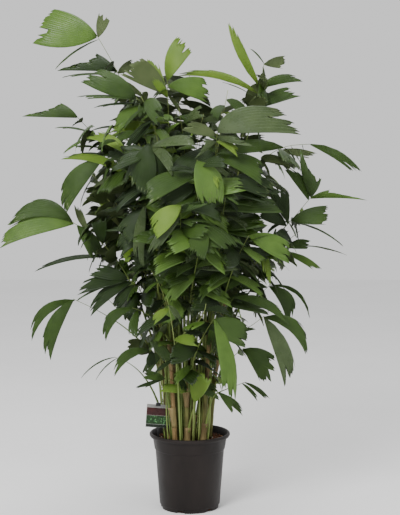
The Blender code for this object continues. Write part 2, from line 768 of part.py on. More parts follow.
def build():
    clear_scene()
    build_pot()
    build_soil()
    build_label()
    space = Space()
    for shape in label_shapes():
        space.add("label", shape)
    fronds = FRONDS + back_fronds()
    canes, choices, tops = share_out(fronds)
    build_canes(canes, space)
    routes = place_stalks(fronds, choices, tops, space)
    growing = [frond for frond in fronds if frond.name in routes]
    leaves = place_leaflets(growing, routes, space)
    finish = material("Leaf", (0.045, 0.125, 0.018), 0.45)
    for frond in growing:
        node = solid(f"frond_{frond.name}", stalk_shape(*routes[frond.name]), finish)
        blades = [solid("leaflet", leaf_shape(leaf), finish) for leaf in leaves[frond.name]]
        combine(node, blades, "UNION")


build()
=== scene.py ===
"""Looks of a fishtail palm in a nursery pot: pot, bark mix, label, canes, stalks and leaflets."""

import math
import random
from collections import namedtuple

import bpy
import numpy as np
from mathutils import Matrix, Vector
from mathutils.bvhtree import BVHTree


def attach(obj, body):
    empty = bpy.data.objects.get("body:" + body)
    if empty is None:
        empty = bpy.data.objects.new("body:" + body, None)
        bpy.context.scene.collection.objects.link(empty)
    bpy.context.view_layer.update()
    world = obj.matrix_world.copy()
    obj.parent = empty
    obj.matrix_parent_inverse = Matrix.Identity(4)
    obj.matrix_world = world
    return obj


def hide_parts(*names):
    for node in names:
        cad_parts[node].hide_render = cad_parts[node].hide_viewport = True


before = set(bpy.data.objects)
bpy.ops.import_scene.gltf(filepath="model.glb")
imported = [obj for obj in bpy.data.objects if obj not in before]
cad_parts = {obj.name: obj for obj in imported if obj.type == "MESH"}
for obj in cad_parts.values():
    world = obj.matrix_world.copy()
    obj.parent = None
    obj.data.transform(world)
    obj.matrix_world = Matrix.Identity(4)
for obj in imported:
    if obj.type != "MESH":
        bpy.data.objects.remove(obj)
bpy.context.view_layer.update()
bpy.ops.object.select_all(action="DESELECT")

# The nursery pot is one thin moulding of dark recycled plastic: a tapered tub with a foot ring,
# a step under its collar and a rolled lip. Its profile is extruded upwards from a circle, down
# the inside again, and six drain notches are cut through the foot.
MM = 0.001
UP = Vector((0, 0, 1))
POT_WALL = 2 * MM
POT_FLOOR = 2.5 * MM
POT_OUTSIDE = [
    (0.0855, 0.0),
    (0.0870, 0.0110),
    (0.0898, 0.0125),
    (0.1025, 0.1760),
    (0.1050, 0.1785),
    (0.1105, 0.2120),
    (0.1175, 0.2140),
    (0.1200, 0.2185),
    (0.1195, 0.2235),
    (0.1170, 0.2255),
    (0.1135, 0.2250),
]
DRAIN_COUNT = 6
DRAIN_RADIUS = 0.014
DRAIN_SUNK = 0.005
DRAIN_FIRST_DEG = -108
DRAIN_REACH = (0.074, 0.100)
DRAIN_ROUND = 40
POT_ROUND = 128
POT_EDGE = 0.5 * MM
POT_EDGE_ANGLE = math.radians(28)
POT_SMOOTH_ANGLE = math.radians(34)
FOOT_INSET = 0.5
DULL = 0.2
NOISE_RANGE = (0.3, 0.7)
TONE_DETAIL = 4
FINE_DETAIL = 3
GLOSS_PATCHES = 2.3
ROUGHER = 0.08
SMOOTHER = 0.06


def effect(name, inputs, outputs):
    """A node group with named inputs and outputs, and the sockets at its two ends."""
    group = bpy.data.node_groups.new(name, "ShaderNodeTree")
    for socket in inputs:
        kind = "NodeSocketVector" if socket == "Stretch" else "NodeSocketFloat"
        group.interface.new_socket(socket, in_out="INPUT", socket_type=kind)
    for socket in outputs:
        group.interface.new_socket(socket, in_out="OUTPUT", socket_type="NodeSocketFloat")
    return group, group.nodes.new("NodeGroupInput").outputs, group.nodes.new("NodeGroupOutput").inputs


def drift_effect():
    """Noise on the piece's own coordinates, spread from a low to a high value."""
    group, given, result = effect("drift", ("Stretch", "Scale", "Detail", "Low", "High"), ("Value",))
    place = group.nodes.new("ShaderNodeTexCoord")
    mapping = group.nodes.new("ShaderNodeMapping")
    noise = group.nodes.new("ShaderNodeTexNoise")
    spread = group.nodes.new("ShaderNodeMapRange")
    spread.inputs["From Min"].default_value, spread.inputs["From Max"].default_value = NOISE_RANGE
    for start, end in (
        (place.outputs["Object"], mapping.inputs["Vector"]),
        (given["Stretch"], mapping.inputs["Scale"]),
        (mapping.outputs["Vector"], noise.inputs["Vector"]),
        (given["Scale"], noise.inputs["Scale"]),
        (given["Detail"], noise.inputs["Detail"]),
        (noise.outputs["Fac"], spread.inputs["Value"]),
        (given["Low"], spread.inputs["To Min"]),
        (given["High"], spread.inputs["To Max"]),
        (spread.outputs["Result"], result["Value"]),
    ):
        group.links.new(start, end)
    return group


def placed(tree, group, **values):
    """The outputs of an effect placed in a material with its own values."""
    node = tree.nodes.new("ShaderNodeGroup")
    node.node_tree = group
    for name, value in values.items():
        node.inputs[name].default_value = value
    return node.outputs


drift = drift_effect()


def vary(tree, scale, detail, low, high, stretch=(1, 1, 1)):
    return placed(tree, drift, Scale=scale, Detail=detail, Low=low, High=high, Stretch=stretch)["Value"]


def blend_colours(tree, amount, first, second):
    """A mix of two colours, either of which may be a node's output."""
    mix = tree.nodes.new("ShaderNodeMix")
    mix.data_type = "RGBA"
    tree.links.new(amount, mix.inputs["Factor"])
    for socket, colour in ((mix.inputs[6], first), (mix.inputs[7], second)):
        if isinstance(colour, tuple):
            socket.default_value = (*colour, 1)
        else:
            tree.links.new(colour, socket)
    return mix.outputs[2]


def relief(tree, height, depth):
    """A bump of a real depth in metres."""
    bump = tree.nodes.new("ShaderNodeBump")
    bump.inputs["Distance"].default_value = depth
    bump.inputs["Strength"].default_value = 1
    tree.links.new(height, bump.inputs["Height"])
    return bump.outputs["Normal"]


def plain_material(name, specular):
    made = bpy.data.materials.new(name)
    made.use_nodes = True
    shader = made.node_tree.nodes["Principled BSDF"]
    shader.inputs["Specular IOR Level"].default_value = specular
    return made, made.node_tree, shader


def finish(name, first, second, patches, roughness, grain, depth, stretch=(1, 1, 1)):
    """A material whose colour drifts between two tones, over a fine grain."""
    made, tree, shader = plain_material(name, DULL)
    tone = vary(tree, patches, TONE_DETAIL, 0, 1, stretch)
    tree.links.new(blend_colours(tree, tone, first, second), shader.inputs["Base Color"])
    limits = (roughness - SMOOTHER, roughness + ROUGHER)
    rough = vary(tree, patches * GLOSS_PATCHES, FINE_DETAIL, *limits, stretch)
    tree.links.new(rough, shader.inputs["Roughness"])
    grains = vary(tree, grain, FINE_DETAIL, 0, 1, stretch)
    tree.links.new(relief(tree, grains, depth), shader.inputs["Normal"])
    return made


def open_piece(name):
    """The primitive just added, named and in edit mode with nothing else selected."""
    piece = bpy.context.active_object
    piece.name = name
    bpy.ops.object.mode_set(mode="EDIT")
    return piece


def grow_ring(radius, height, before):
    """Extrudes the selected ring to the next radius and height of a profile."""
    rise = (0, 0, height - before[1])
    bpy.ops.mesh.extrude_region_move(TRANSFORM_OT_translate={"value": rise})
    part = radius / before[0]
    bpy.ops.transform.resize(value=(part, part, 1), center_override=(0, 0, height))


def apply_modifiers(piece):
    bpy.context.view_layer.objects.active = piece
    for modifier in list(piece.modifiers):
        bpy.ops.object.modifier_apply(modifier=modifier.name)


def pot_inside(gap):
    """The pot's inner face from its floor to its collar, drawn in by a gap."""
    foot, ring, step = POT_OUTSIDE[:3]
    levels = [(foot[0], POT_FLOOR), (ring[0], step[1] + POT_WALL), *POT_OUTSIDE[3:6]]
    return [(radius - POT_WALL - gap, height) for radius, height in levels]


pot_profile = POT_OUTSIDE + list(reversed(pot_inside(0.0)))
bpy.ops.mesh.primitive_circle_add(vertices=POT_ROUND, radius=pot_profile[0][0], fill_type="NGON")
pot = open_piece("nursery_pot")
bpy.ops.mesh.select_all(action="SELECT")
bpy.ops.mesh.inset(thickness=pot_profile[0][0] * FOOT_INSET)
bpy.ops.mesh.select_all(action="DESELECT")
bpy.ops.mesh.select_mode(type="EDGE")
bpy.ops.mesh.select_non_manifold(extend=False)
for before, after in zip(pot_profile, pot_profile[1:]):
    grow_ring(*after, before)
bpy.ops.mesh.edge_face_add()
bpy.ops.mesh.select_all(action="SELECT")
bpy.ops.mesh.normals_make_consistent(inside=False)
bpy.ops.object.mode_set(mode="OBJECT")

near, far = DRAIN_REACH
drain_middle = (near + far) / 2
for k in range(DRAIN_COUNT):
    angle = math.radians(DRAIN_FIRST_DEG) + math.tau * k / DRAIN_COUNT
    bpy.ops.object.select_all(action="DESELECT")
    bpy.ops.mesh.primitive_cylinder_add(
        vertices=DRAIN_ROUND,
        radius=DRAIN_RADIUS,
        depth=far - near,
        location=(math.cos(angle) * drain_middle, math.sin(angle) * drain_middle, -DRAIN_SUNK),
        rotation=(0, math.pi / 2, angle),
    )
    drain = bpy.context.active_object
    notch = pot.modifiers.new("Drain", "BOOLEAN")
    notch.object = drain
    notch.operation = "DIFFERENCE"
    notch.solver = "EXACT"
    apply_modifiers(pot)
    bpy.data.objects.remove(drain)
rounding = pot.modifiers.new("Rounding", "BEVEL")
rounding.width = POT_EDGE
rounding.segments = 2
rounding.limit_method = "ANGLE"
rounding.angle_limit = POT_EDGE_ANGLE
apply_modifiers(pot)
bpy.ops.object.select_all(action="DESELECT")
pot.select_set(True)
bpy.context.view_layer.objects.active = pot
bpy.ops.object.shade_smooth_by_angle(angle=POT_SMOOTH_ANGLE)
pot.data.materials.clear()
pot_plastic = finish(
    "pot plastic",
    (0.0082, 0.0060, 0.0052),
    (0.0160, 0.0118, 0.0104),
    patches=14,
    roughness=0.46,
    grain=420,
    depth=0.12 * MM,
    stretch=(1, 1, 0.5),
)
pot.data.materials.append(pot_plastic)
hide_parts("pot")
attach(pot, "root")

# The potting mix is moist bark and coir, filled to just under the lip. A lumpy bed carries
# loose chips and a few pale stones, which lie on it at all angles.
SOIL_TOP = 0.2060
SOIL_GAP = 0.4 * MM
CLEAR = 0.3 * MM
BED_DROP = 4 * MM
BED_ROUND = 72
BED_RINGS = 12
BED_EDGE = 0.99
LUMP_HEIGHT = 3.5 * MM
MIX_SEED = 3
CHIP_COUNT = 3200
CHIP_MARGIN = 5 * MM
CHIP_LEVELS = (-0.7, 0.5)
CHIP_SIZES = (3.0 * MM, 13 * MM)
CHIP_WIDTHS = (0.35, 0.8)
CHIP_DEPTHS = (0.18, 0.4)
CHIP_TILT = 0.6
CHIP_CORNERS = 5
CHIP_TONES = [
    ("bark dark", (0.030, 0.013, 0.008), (0.066, 0.026, 0.014), 0.42),
    ("bark red", (0.120, 0.044, 0.020), (0.200, 0.080, 0.038), 0.42),
    ("bark tan", (0.190, 0.105, 0.055), (0.280, 0.170, 0.095), 0.13),
    ("stone", (0.300, 0.270, 0.230), (0.420, 0.390, 0.340), 0.03),
]


def object_from(name, points, faces, finishes, indices=None, smooth=True):
    """A piece from arrays of points and faces, with one material for each index."""
    mesh = bpy.data.meshes.new(name)
    mesh.from_pydata([tuple(point) for point in points], [], faces)
    for made in finishes:
        mesh.materials.append(made)
    if indices is not None:
        mesh.polygons.foreach_set("material_index", indices)
    mesh.polygons.foreach_set("use_smooth", [smooth] * len(faces))
    mesh.update()
    piece = bpy.data.objects.new(name, mesh)
    bpy.context.scene.collection.objects.link(piece)
    return piece


def tube_faces(rings, sides):
    """The faces of a closed tube: its foot, the quads between its rings, and its end."""
    faces = [tuple(reversed(range(sides)))]
    for low in range(0, (rings - 1) * sides, sides):
        for k in range(sides):
            after = (k + 1) % sides
            faces.append((low + k, low + after, low + sides + after, low + sides + k))
    return faces + [tuple(range((rings - 1) * sides, rings * sides))]


def turned(profile, sides):
    """A closed body turned about Z from a profile that runs from its underside to its top."""
    points = [Vector((0, 0, profile[0][1]))]
    for radius, height in profile:
        for k in range(sides):
            angle = math.tau * k / sides
            points.append(Vector((radius * math.cos(angle), radius * math.sin(angle), height)))
    points.append(Vector((0, 0, profile[-1][1])))
    last = 1 + (len(profile) - 1) * sides
    faces = []
    for k in range(sides):
        after = (k + 1) % sides
        faces.append((0, 1 + after, 1 + k))
        faces.append((last + k, last + after, len(points) - 1))
    faces += [tuple(1 + k for k in face) for face in tube_faces(len(profile), sides)[1:-1]]
    return points, faces


soil_profile = pot_inside(SOIL_GAP)
(low_r, low_z), (high_r, high_z) = soil_profile[-2:]
bed_z = SOIL_TOP - BED_DROP
bed_r = low_r + (high_r - low_r) * (bed_z - low_z) / (high_z - low_z)
soil_profile[0] = (soil_profile[0][0], soil_profile[0][1] + CLEAR)
soil_profile[-1] = (bed_r, bed_z)
soil_profile += [(bed_r * part / BED_RINGS, bed_z) for part in range(BED_RINGS - 1, 0, -1)]
bed_points, bed_faces = turned(soil_profile, BED_ROUND)
lumps = random.Random(MIX_SEED)
for point in bed_points:
    if point.z > bed_z - MM and point.xy.length < bed_r * BED_EDGE:
        point.z += lumps.uniform(0, LUMP_HEIGHT)
bed_finish = finish(
    "bed", (0.018, 0.009, 0.006), (0.050, 0.022, 0.013), patches=160, roughness=0.9, grain=700, depth=1.2 * MM
)
bark_bed = object_from("bark_bed", bed_points, bed_faces, [bed_finish])
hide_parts("potting_mix")
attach(bark_bed, "root")


def bark_chip():
    """One chip: a flat block of five uneven corners that lies at any angle."""
    far_out = (bed_r - CHIP_MARGIN) * math.sqrt(lumps.random())
    angle = lumps.uniform(0, math.tau)
    level = SOIL_TOP + BED_DROP * lumps.uniform(*CHIP_LEVELS)
    middle = Vector((far_out * math.cos(angle), far_out * math.sin(angle), level))
    length = lumps.uniform(*CHIP_SIZES) * lumps.uniform(0.5, 1)
    half = Vector((length, length * lumps.uniform(*CHIP_WIDTHS), length * lumps.uniform(*CHIP_DEPTHS))) / 2
    turn = Matrix.Rotation(lumps.uniform(0, math.tau), 3, "Z")
    turn = turn @ Matrix.Rotation(lumps.uniform(-CHIP_TILT, CHIP_TILT), 3, "X")
    points = []
    for side in (-1, 1):
        for k in range(CHIP_CORNERS):
            around = math.tau * (k + lumps.uniform(-0.25, 0.25)) / CHIP_CORNERS
            inner = lumps.uniform(0.75, 1.0) * (0.8 if side > 0 else 1)
            x, y = half.x * math.cos(around) * inner, half.y * math.sin(around) * inner
            points.append(middle + turn @ Vector((x, y, half.z * side)))
    return points


chip_sides = tube_faces(2, CHIP_CORNERS)
chip_points, chip_faces, chip_tones = [], [], []
for _ in range(CHIP_COUNT):
    first = len(chip_points)
    chip_points += bark_chip()
    chip_faces += [tuple(first + k for k in face) for face in chip_sides]
    tone = lumps.choices(range(len(CHIP_TONES)), [row[3] for row in CHIP_TONES])[0]
    chip_tones += [tone] * len(chip_sides)
bark_chips = object_from(
    "bark_chips",
    chip_points,
    chip_faces,
    [finish(*row[:3], patches=240, roughness=0.82, grain=900, depth=0.4 * MM) for row in CHIP_TONES],
    chip_tones,
    smooth=False,
)
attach(bark_chips, "root")

# The plant label is a small printed card in a black clip on a flat stake. The card's print is
# a plain design of its own: a grey strip, a dark red band and a green field of leaf shapes,
# each a thin layer of ink that lies on the card.
LABEL_WIDTH = 0.072
LABEL_HEIGHT = 0.069
LABEL_THICK = 1.2 * MM
LABEL_CENTRE = Vector((-0.0925, -0.0385, 0.2810))
LABEL_TILT = math.radians(4)
STAKE_WIDTH = 0.007
STAKE_THICK = 0.003
CLIP_SIZE = Vector((0.014, 0.007, 0.009))
CARD_THICK = LABEL_THICK * 0.7
CARD_MIDDLE = LABEL_THICK * 0.1
CARD_FACE = LABEL_THICK * 0.25
CARD_ROUNDING = 0.25 * MM
CARD_SMOOTH_ANGLE = math.radians(40)
BAND_MARGIN = 0.8 * MM
BAND_GAP = 0.4 * MM
INK = 0.08 * MM
INK_GRAIN = {"roughness": 0.32, "grain": 500, "depth": 0.02 * MM}
PRINT_SEED = 5
PRINT_COUNT = 46
PRINT_ACROSS = 0.42
PRINT_UP = (0.19, 0.47)
PRINT_LENGTHS = (3, 6)
PRINT_SHAPE = ((0, 0), (0.45, -0.28), (1, 0), (0.45, 0.28))
BANDS = [
    ("label_grey_strip", 0.86, 1.00, (0.16, 0.16, 0.15), (0.22, 0.22, 0.21)),
    ("label_red_band", 0.52, 0.86, (0.028, 0.008, 0.008), (0.048, 0.012, 0.011)),
    ("label_green_field", 0.14, 0.52, (0.008, 0.026, 0.008), (0.018, 0.050, 0.014)),
    ("label_dark_foot", 0.00, 0.14, (0.006, 0.010, 0.006), (0.012, 0.018, 0.010)),
]
label_turn = Matrix.Translation(LABEL_CENTRE) @ Matrix.Rotation(LABEL_TILT, 4, "Y")


def label_block(name, size, centre, edge, turn=label_turn):
    """A block with rounded edges, placed on the card's own axes."""
    bpy.ops.object.select_all(action="DESELECT")
    bpy.ops.mesh.primitive_cube_add(size=1)
    made = open_piece(name)
    bpy.ops.transform.resize(value=size, center_override=(0, 0, 0))
    bpy.ops.transform.translate(value=centre)
    bpy.ops.mesh.bevel(offset=edge, segments=3)
    bpy.ops.object.mode_set(mode="OBJECT")
    made.data.transform(turn)
    bpy.ops.object.shade_smooth_by_angle(angle=CARD_SMOOTH_ANGLE)
    made.data.materials.clear()
    return made


card = label_block("label_card", (LABEL_WIDTH, CARD_THICK, LABEL_HEIGHT), (0, CARD_MIDDLE, 0), CARD_ROUNDING)
card_stock = finish(
    "card", (0.55, 0.55, 0.53), (0.62, 0.62, 0.60), patches=60, roughness=0.4, grain=500, depth=0.03 * MM
)
card.data.materials.append(card_stock)
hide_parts("label")
label_pieces = [card]
for name, low, high, first, second in BANDS:
    height = LABEL_HEIGHT * (high - low) - BAND_GAP
    middle = LABEL_HEIGHT * ((high + low) / 2 - 0.5)
    size = (LABEL_WIDTH - 2 * BAND_MARGIN, INK, height)
    band = label_block(name, size, (0, -CARD_FACE - INK / 2, middle), INK * 0.3)
    band.data.materials.append(finish(name.replace("_", " "), first, second, patches=70, **INK_GRAIN))
    label_pieces.append(band)

leaf_points, leaf_faces, leaf_tones = [], [], []
print_chance = random.Random(PRINT_SEED)
for _ in range(PRINT_COUNT):
    across = print_chance.uniform(-PRINT_ACROSS, PRINT_ACROSS) * LABEL_WIDTH
    up = (print_chance.uniform(*PRINT_UP) - 0.5) * LABEL_HEIGHT
    size = print_chance.uniform(*PRINT_LENGTHS) * MM
    turn = print_chance.uniform(0, math.tau)
    first = len(leaf_points)
    layer = -CARD_FACE - INK * (1.2 + 0.3 * print_chance.random())
    for along_leaf, out in PRINT_SHAPE:
        x = across + size * (along_leaf * math.cos(turn) - out * math.sin(turn))
        z = up + size * (along_leaf * math.sin(turn) + out * math.cos(turn))
        for depth in (0, INK * 0.5):
            leaf_points.append(label_turn @ Vector((x, layer + depth, z)))
    rim = [first + 2 * k for k in range(4)]
    leaf_faces += [tuple(rim), tuple(k + 1 for k in reversed(rim))]
    leaf_faces += [(rim[k - 1], rim[k - 1] + 1, rim[k] + 1, rim[k]) for k in range(4)]
    leaf_tones += [print_chance.randrange(2)] * 6
printed_leaves = object_from(
    "label_leaf_shapes",
    leaf_points,
    leaf_faces,
    [
        finish("ink light green", (0.080, 0.220, 0.075), (0.130, 0.300, 0.110), patches=90, **INK_GRAIN),
        finish("ink deep green", (0.020, 0.075, 0.025), (0.035, 0.110, 0.040), patches=90, **INK_GRAIN),
    ],
    leaf_tones,
    smooth=False,
)
label_pieces.append(printed_leaves)
black_plastic = finish(
    "label plastic",
    (0.012, 0.012, 0.012),
    (0.022, 0.022, 0.022),
    patches=50,
    roughness=0.35,
    grain=600,
    depth=0.04 * MM,
)
card_top = LABEL_CENTRE.z + LABEL_HEIGHT / 2
behind = LABEL_CENTRE.y + LABEL_THICK / 4 + STAKE_THICK / 2
stake_foot = SOIL_TOP + CLEAR
stake_length = card_top - stake_foot
stake_middle = Vector((LABEL_CENTRE.x, behind, (card_top + stake_foot) / 2))
clip_middle = Vector((LABEL_CENTRE.x, behind - STAKE_THICK / 4, card_top))
upright = Matrix.Identity(4)
stake_size = (STAKE_WIDTH, STAKE_THICK * 0.7, stake_length)
stake = label_block("label_stake", stake_size, stake_middle, 0.4 * MM, upright)
clip = label_block("label_clip", CLIP_SIZE, clip_middle, 0.8 * MM, upright)
for piece in (stake, clip):
    piece.data.materials.append(black_plastic)
    label_pieces.append(piece)
for piece in label_pieces:
    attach(piece, "root")

# The plan of the fronds is the source's own. A frond leaves its cane at a height and ends at a
# tip, where its rib rises by an angle. Its named leaflets are (distance back from the tip, angle
# as seen from the front, length, width, bow in hundredths of the length, side, form), in
# millimetres and degrees, and filling is how many more the rule adds.
NEAR = 0.6 * MM
AHEAD = Vector((0, 1, 0))
FAN = [(0.40, 0.38), (0.82, 0.52), (0.95, 0.06), (1.00, -0.36), (0.48, -0.36)]
WEDGE = [(0.38, 0.42), (0.82, 0.50), (0.92, 0.10), (1.00, -0.24), (0.48, -0.48)]
BROAD = [(0.22, 0.50), (0.78, 0.44), (0.92, 0.06), (1.00, -0.34), (0.42, -0.36)]
LOBED = [(0.12, 0.30), (0.36, 0.58), (0.52, 0.14), (1.00, -0.04), (0.50, -0.30)]
SICKLE = [(0.30, 0.42), (0.70, 0.50), (0.95, 0.20), (1.00, -0.16), (0.52, -0.50)]
VIEWER = Vector((0, -1, 0.35))
SKY = Vector((0, -0.25, 1))
BACK = Vector((0, 1, 0.35))
Frond = namedtuple("Frond", "name leaves tip rise filling leaflets")
FRONDS = [
    Frond("top_left", 0.60, (-0.268, 0.00, 1.392), 58, 3, [
        (0, 170, 182, 148, 0, VIEWER, FAN),
        (4, 75, 70, 40, 0, BACK, FAN),
        (10, 213, 155, 30, 8, SKY, WEDGE),
        (116, 178, 175, 72, 10, VIEWER, LOBED),
        (122, 30, 68, 30, 4, BACK, WEDGE),
        (132, 181, 168, 30, 4, SKY, WEDGE),
    ]),
    Frond("upper_left_fan", 0.58, (-0.151, -0.10, 1.211), 40, 10, [
        (0, 157, 165, 74, 6, VIEWER, WEDGE),
        (12, 176, 178, 36, 5, SKY, WEDGE),
        (24, 184, 135, 40, 3, SKY, WEDGE),
        (34, 222, 108, 40, 12, VIEWER, SICKLE),
    ]),
    Frond("left_upper", 0.52, (-0.330, 0.02, 1.159), 45, 5, [
        (0, 177, 165, 64, 8, VIEWER, LOBED),
        (62, 172, 110, 34, 8, SKY, WEDGE),
        (78, 206, 108, 28, 14, SKY, SICKLE),
        (124, 174, 100, 26, 5, SKY, WEDGE),
        (148, 180, 130, 24, 4, SKY, WEDGE),
        (138, 50, 62, 56, 0, VIEWER, FAN),
        (56, 13, 84, 26, 5, SKY, WEDGE),
    ]),
    Frond("left_drooping", 0.48, (-0.250, -0.08, 1.036), 15, 8, [
        (0, 233, 188, 60, 14, VIEWER, SICKLE),
        (112, 160, 222, 28, 12, VIEWER, SICKLE),
        (85, 201, 108, 22, 4, BACK, WEDGE),
    ]),
    Frond("left_wide", 0.42, (-0.341, -0.04, 0.853), 28, 5, [
        (0, 178, 185, 60, 24, VIEWER, SICKLE),
        (8, 192, 232, 74, 12, VIEWER, WEDGE),
        (16, 303, 128, 48, 5, VIEWER, WEDGE),
        (55, 113, 92, 24, 4, BACK, WEDGE),
        (165, 188, 240, 30, 12, SKY, SICKLE),
        (110, 97, 85, 50, 0, VIEWER, FAN),
    ]),
    Frond("left_lower_fan", 0.40, (-0.180, -0.08, 0.694), 40, 6, [
        (0, 169, 112, 42, 5, VIEWER, WEDGE),
        (7, 193, 158, 40, 7, VIEWER, WEDGE),
        (14, 198, 165, 34, 10, SKY, SICKLE),
        (21, 216, 155, 42, 12, VIEWER, SICKLE),
        (32, 230, 95, 36, 6, VIEWER, WEDGE),
    ]),
    Frond("left_low_long", 0.30, (-0.341, -0.03, 0.627), 25, 0, [
        (0, 246, 190, 44, 12, VIEWER, SICKLE),
        (8, 221, 178, 30, 20, VIEWER, SICKLE),
    ]),
    Frond("left_low_inner", 0.36, (-0.162, -0.14, 0.614), 15, 3, [
        (0, 227, 120, 34, 22, VIEWER, SICKLE),
    ]),
    Frond("low_left_arch", 0.30, (-0.116, -0.10, 0.487), 10, 0, [
        (0, 213, 126, 32, 20, VIEWER, SICKLE),
        (10, 262, 50, 28, 0, VIEWER, WEDGE),
    ]),
    Frond("low_left_thin", 0.26, (-0.226, 0.02, 0.447), 15, 0, [
        (0, 210, 118, 13, 14, SKY, SICKLE),
        (10, 225, 92, 11, 8, SKY, SICKLE),
    ]),
    Frond("low_left_small", 0.28, (-0.073, -0.12, 0.409), 10, 0, [
        (0, 174, 62, 28, 5, VIEWER, WEDGE),
        (8, 195, 90, 18, 10, SKY, SICKLE),
    ]),
    Frond("top_centre", 0.62, (-0.065, -0.02, 1.264), 85, 11, [
        (0, 66, 132, 68, 6, VIEWER, FAN),
        (16, 352, 128, 72, 5, VIEWER, FAN),
        (52, 113, 130, 40, 5, VIEWER, WEDGE),
        (165, 178, 188, 40, 14, VIEWER, SICKLE),
    ]),
    Frond("top_right", 0.60, (0.219, 0.03, 1.317), 80, 7, [
        (0, 131, 62, 16, 5, SKY, WEDGE),
        (4, 12, 68, 40, 0, BACK, FAN),
        (70, 115, 212, 28, -4, VIEWER, SICKLE),
        (77, 12, 132, 34, 12, VIEWER, SICKLE),
        (84, 328, 46, 24, 0, VIEWER, FAN),
        (91, 167, 246, 27, 10, VIEWER, SICKLE),
        (99, 268, 42, 16, 0, VIEWER, WEDGE),
        (108, 153, 115, 14, 4, SKY, WEDGE),
        (135, 20, 142, 44, 8, VIEWER, WEDGE),
    ]),
    Frond("front_fan", 0.55, (0.076, -0.30, 1.108), 55, 9, [
        (0, 8, 225, 98, 8, VIEWER, BROAD),
        (10, 166, 95, 36, 4, BACK, WEDGE),
    ]),
    Frond("right_upper", 0.55, (0.356, 0.03, 1.080), -5, 8, [
        (0, 331, 176, 32, 6, VIEWER, WEDGE),
        (100, 355, 115, 26, 0, BACK, WEDGE),
        (80, 184, 180, 44, 6, VIEWER, WEDGE),
    ]),
    Frond("right_middle", 0.46, (0.357, 0.00, 0.925), 52, 5, [
        (0, 101, 150, 68, 4, VIEWER, LOBED),
        (6, 0, 170, 34, 6, VIEWER, LOBED),
        (12, 124, 118, 34, 10, VIEWER, SICKLE),
    ]),
    Frond("right_middle_inner", 0.44, (0.293, -0.08, 0.861), 50, 6, [
        (0, 15, 118, 66, 0, VIEWER, FAN),
        (4, 208, 78, 16, 22, SKY, SICKLE),
        (8, 337, 170, 14, 12, SKY, SICKLE),
        (12, 117, 124, 26, 0, VIEWER, WEDGE),
        (16, 97, 118, 26, 0, VIEWER, WEDGE),
        (22, 142, 98, 56, 0, VIEWER, FAN),
    ]),
    Frond("right_lower", 0.44, (0.290, 0.04, 0.775), 45, 6, [
        (0, 12, 76, 30, 4, VIEWER, WEDGE),
        (6, 356, 184, 14, 10, SKY, SICKLE),
        (20, 336, 128, 22, 4, VIEWER, WEDGE),
    ]),
    Frond("right_front", 0.44, (0.167, -0.20, 0.825), 50, 8, [
        (0, 332, 138, 58, 8, VIEWER, WEDGE),
    ]),
    Frond("right_arch", 0.36, (0.242, 0.07, 0.659), 45, 5, [
        (0, 322, 155, 14, 22, VIEWER, SICKLE),
        (6, 300, 122, 44, 22, VIEWER, SICKLE),
        (12, 183, 138, 32, 8, VIEWER, SICKLE),
    ]),
    Frond("right_low_front", 0.36, (0.128, -0.12, 0.643), 50, 6, [
        (0, 337, 176, 32, 12, VIEWER, SICKLE),
    ]),
    Frond("right_low_fan", 0.34, (0.216, -0.08, 0.583), 40, 4, [
        (0, 290, 215, 50, 8, VIEWER, WEDGE),
        (6, 321, 168, 38, 22, VIEWER, SICKLE),
    ]),
    Frond("right_low_inner", 0.30, (0.161, -0.02, 0.481), 35, 4, [
        (0, 306, 128, 40, 6, VIEWER, WEDGE),
        (8, 334, 115, 50, 5, VIEWER, WEDGE),
    ]),
    Frond("front_low_long", 0.36, (0.070, -0.22, 0.595), 40, 4, [
        (0, 282, 234, 48, 5, VIEWER, WEDGE),
        (8, 329, 116, 70, 5, VIEWER, WEDGE),
    ]),
    Frond("low_right_small", 0.25, (0.085, -0.12, 0.368), 20, 0, [
        (0, 307, 74, 24, 8, VIEWER, WEDGE),
        (8, 321, 100, 22, 6, VIEWER, WEDGE),
    ]),
    Frond("low_right_thin", 0.26, (0.164, -0.02, 0.379), 25, 0, [
        (0, 326, 90, 14, 5, VIEWER, WEDGE),
        (10, 314, 70, 12, 5, VIEWER, WEDGE),
    ]),
    Frond("sprout", 0.24, (0.014, -0.10, 0.335), 75, 0, [
        (0, 77, 100, 66, 0, VIEWER, FAN),
    ]),
    Frond("front_left_dark", 0.50, (-0.108, -0.26, 1.082), 60, 9, [
        (0, 259, 145, 100, 0, VIEWER, FAN),
        (12, 293, 108, 26, 5, VIEWER, WEDGE),
    ]),
    Frond("front_middle", 0.50, (0.023, -0.34, 1.033), 50, 8, [
        (0, 293, 130, 84, 4, VIEWER, WEDGE),
    ]),
    Frond("front_bright", 0.46, (-0.020, -0.34, 0.914), 50, 8, [
        (0, 226, 110, 58, 8, VIEWER, WEDGE),
    ]),
    Frond("front_centre", 0.42, (0.045, -0.30, 0.870), 50, 8, [
        (0, 255, 104, 68, 0, VIEWER, FAN),
    ]),
    Frond("left_front", 0.46, (-0.123, -0.18, 0.913), 60, 8, [
        (0, 266, 174, 34, 6, VIEWER, WEDGE),
        (8, 186, 130, 28, 6, SKY, WEDGE),
        (16, 235, 114, 64, 4, VIEWER, WEDGE),
    ]),
    Frond("right_front_dark", 0.50, (0.110, -0.24, 0.978), 55, 9, [
        (0, 350, 135, 62, 4, VIEWER, WEDGE),
    ]),
]
BACK_FRONDS = 9
BACK_FIRST_DEG = 14
BACK_LAST_DEG = 166
BACK_TIPS = [(0.34, 0.82), (0.24, 1.24), (0.38, 1.02), (0.28, 0.64), (0.14, 1.29)]
BACK_RISE = 42
BACK_LEAVES = 0.50
BACK_FILLING = 12


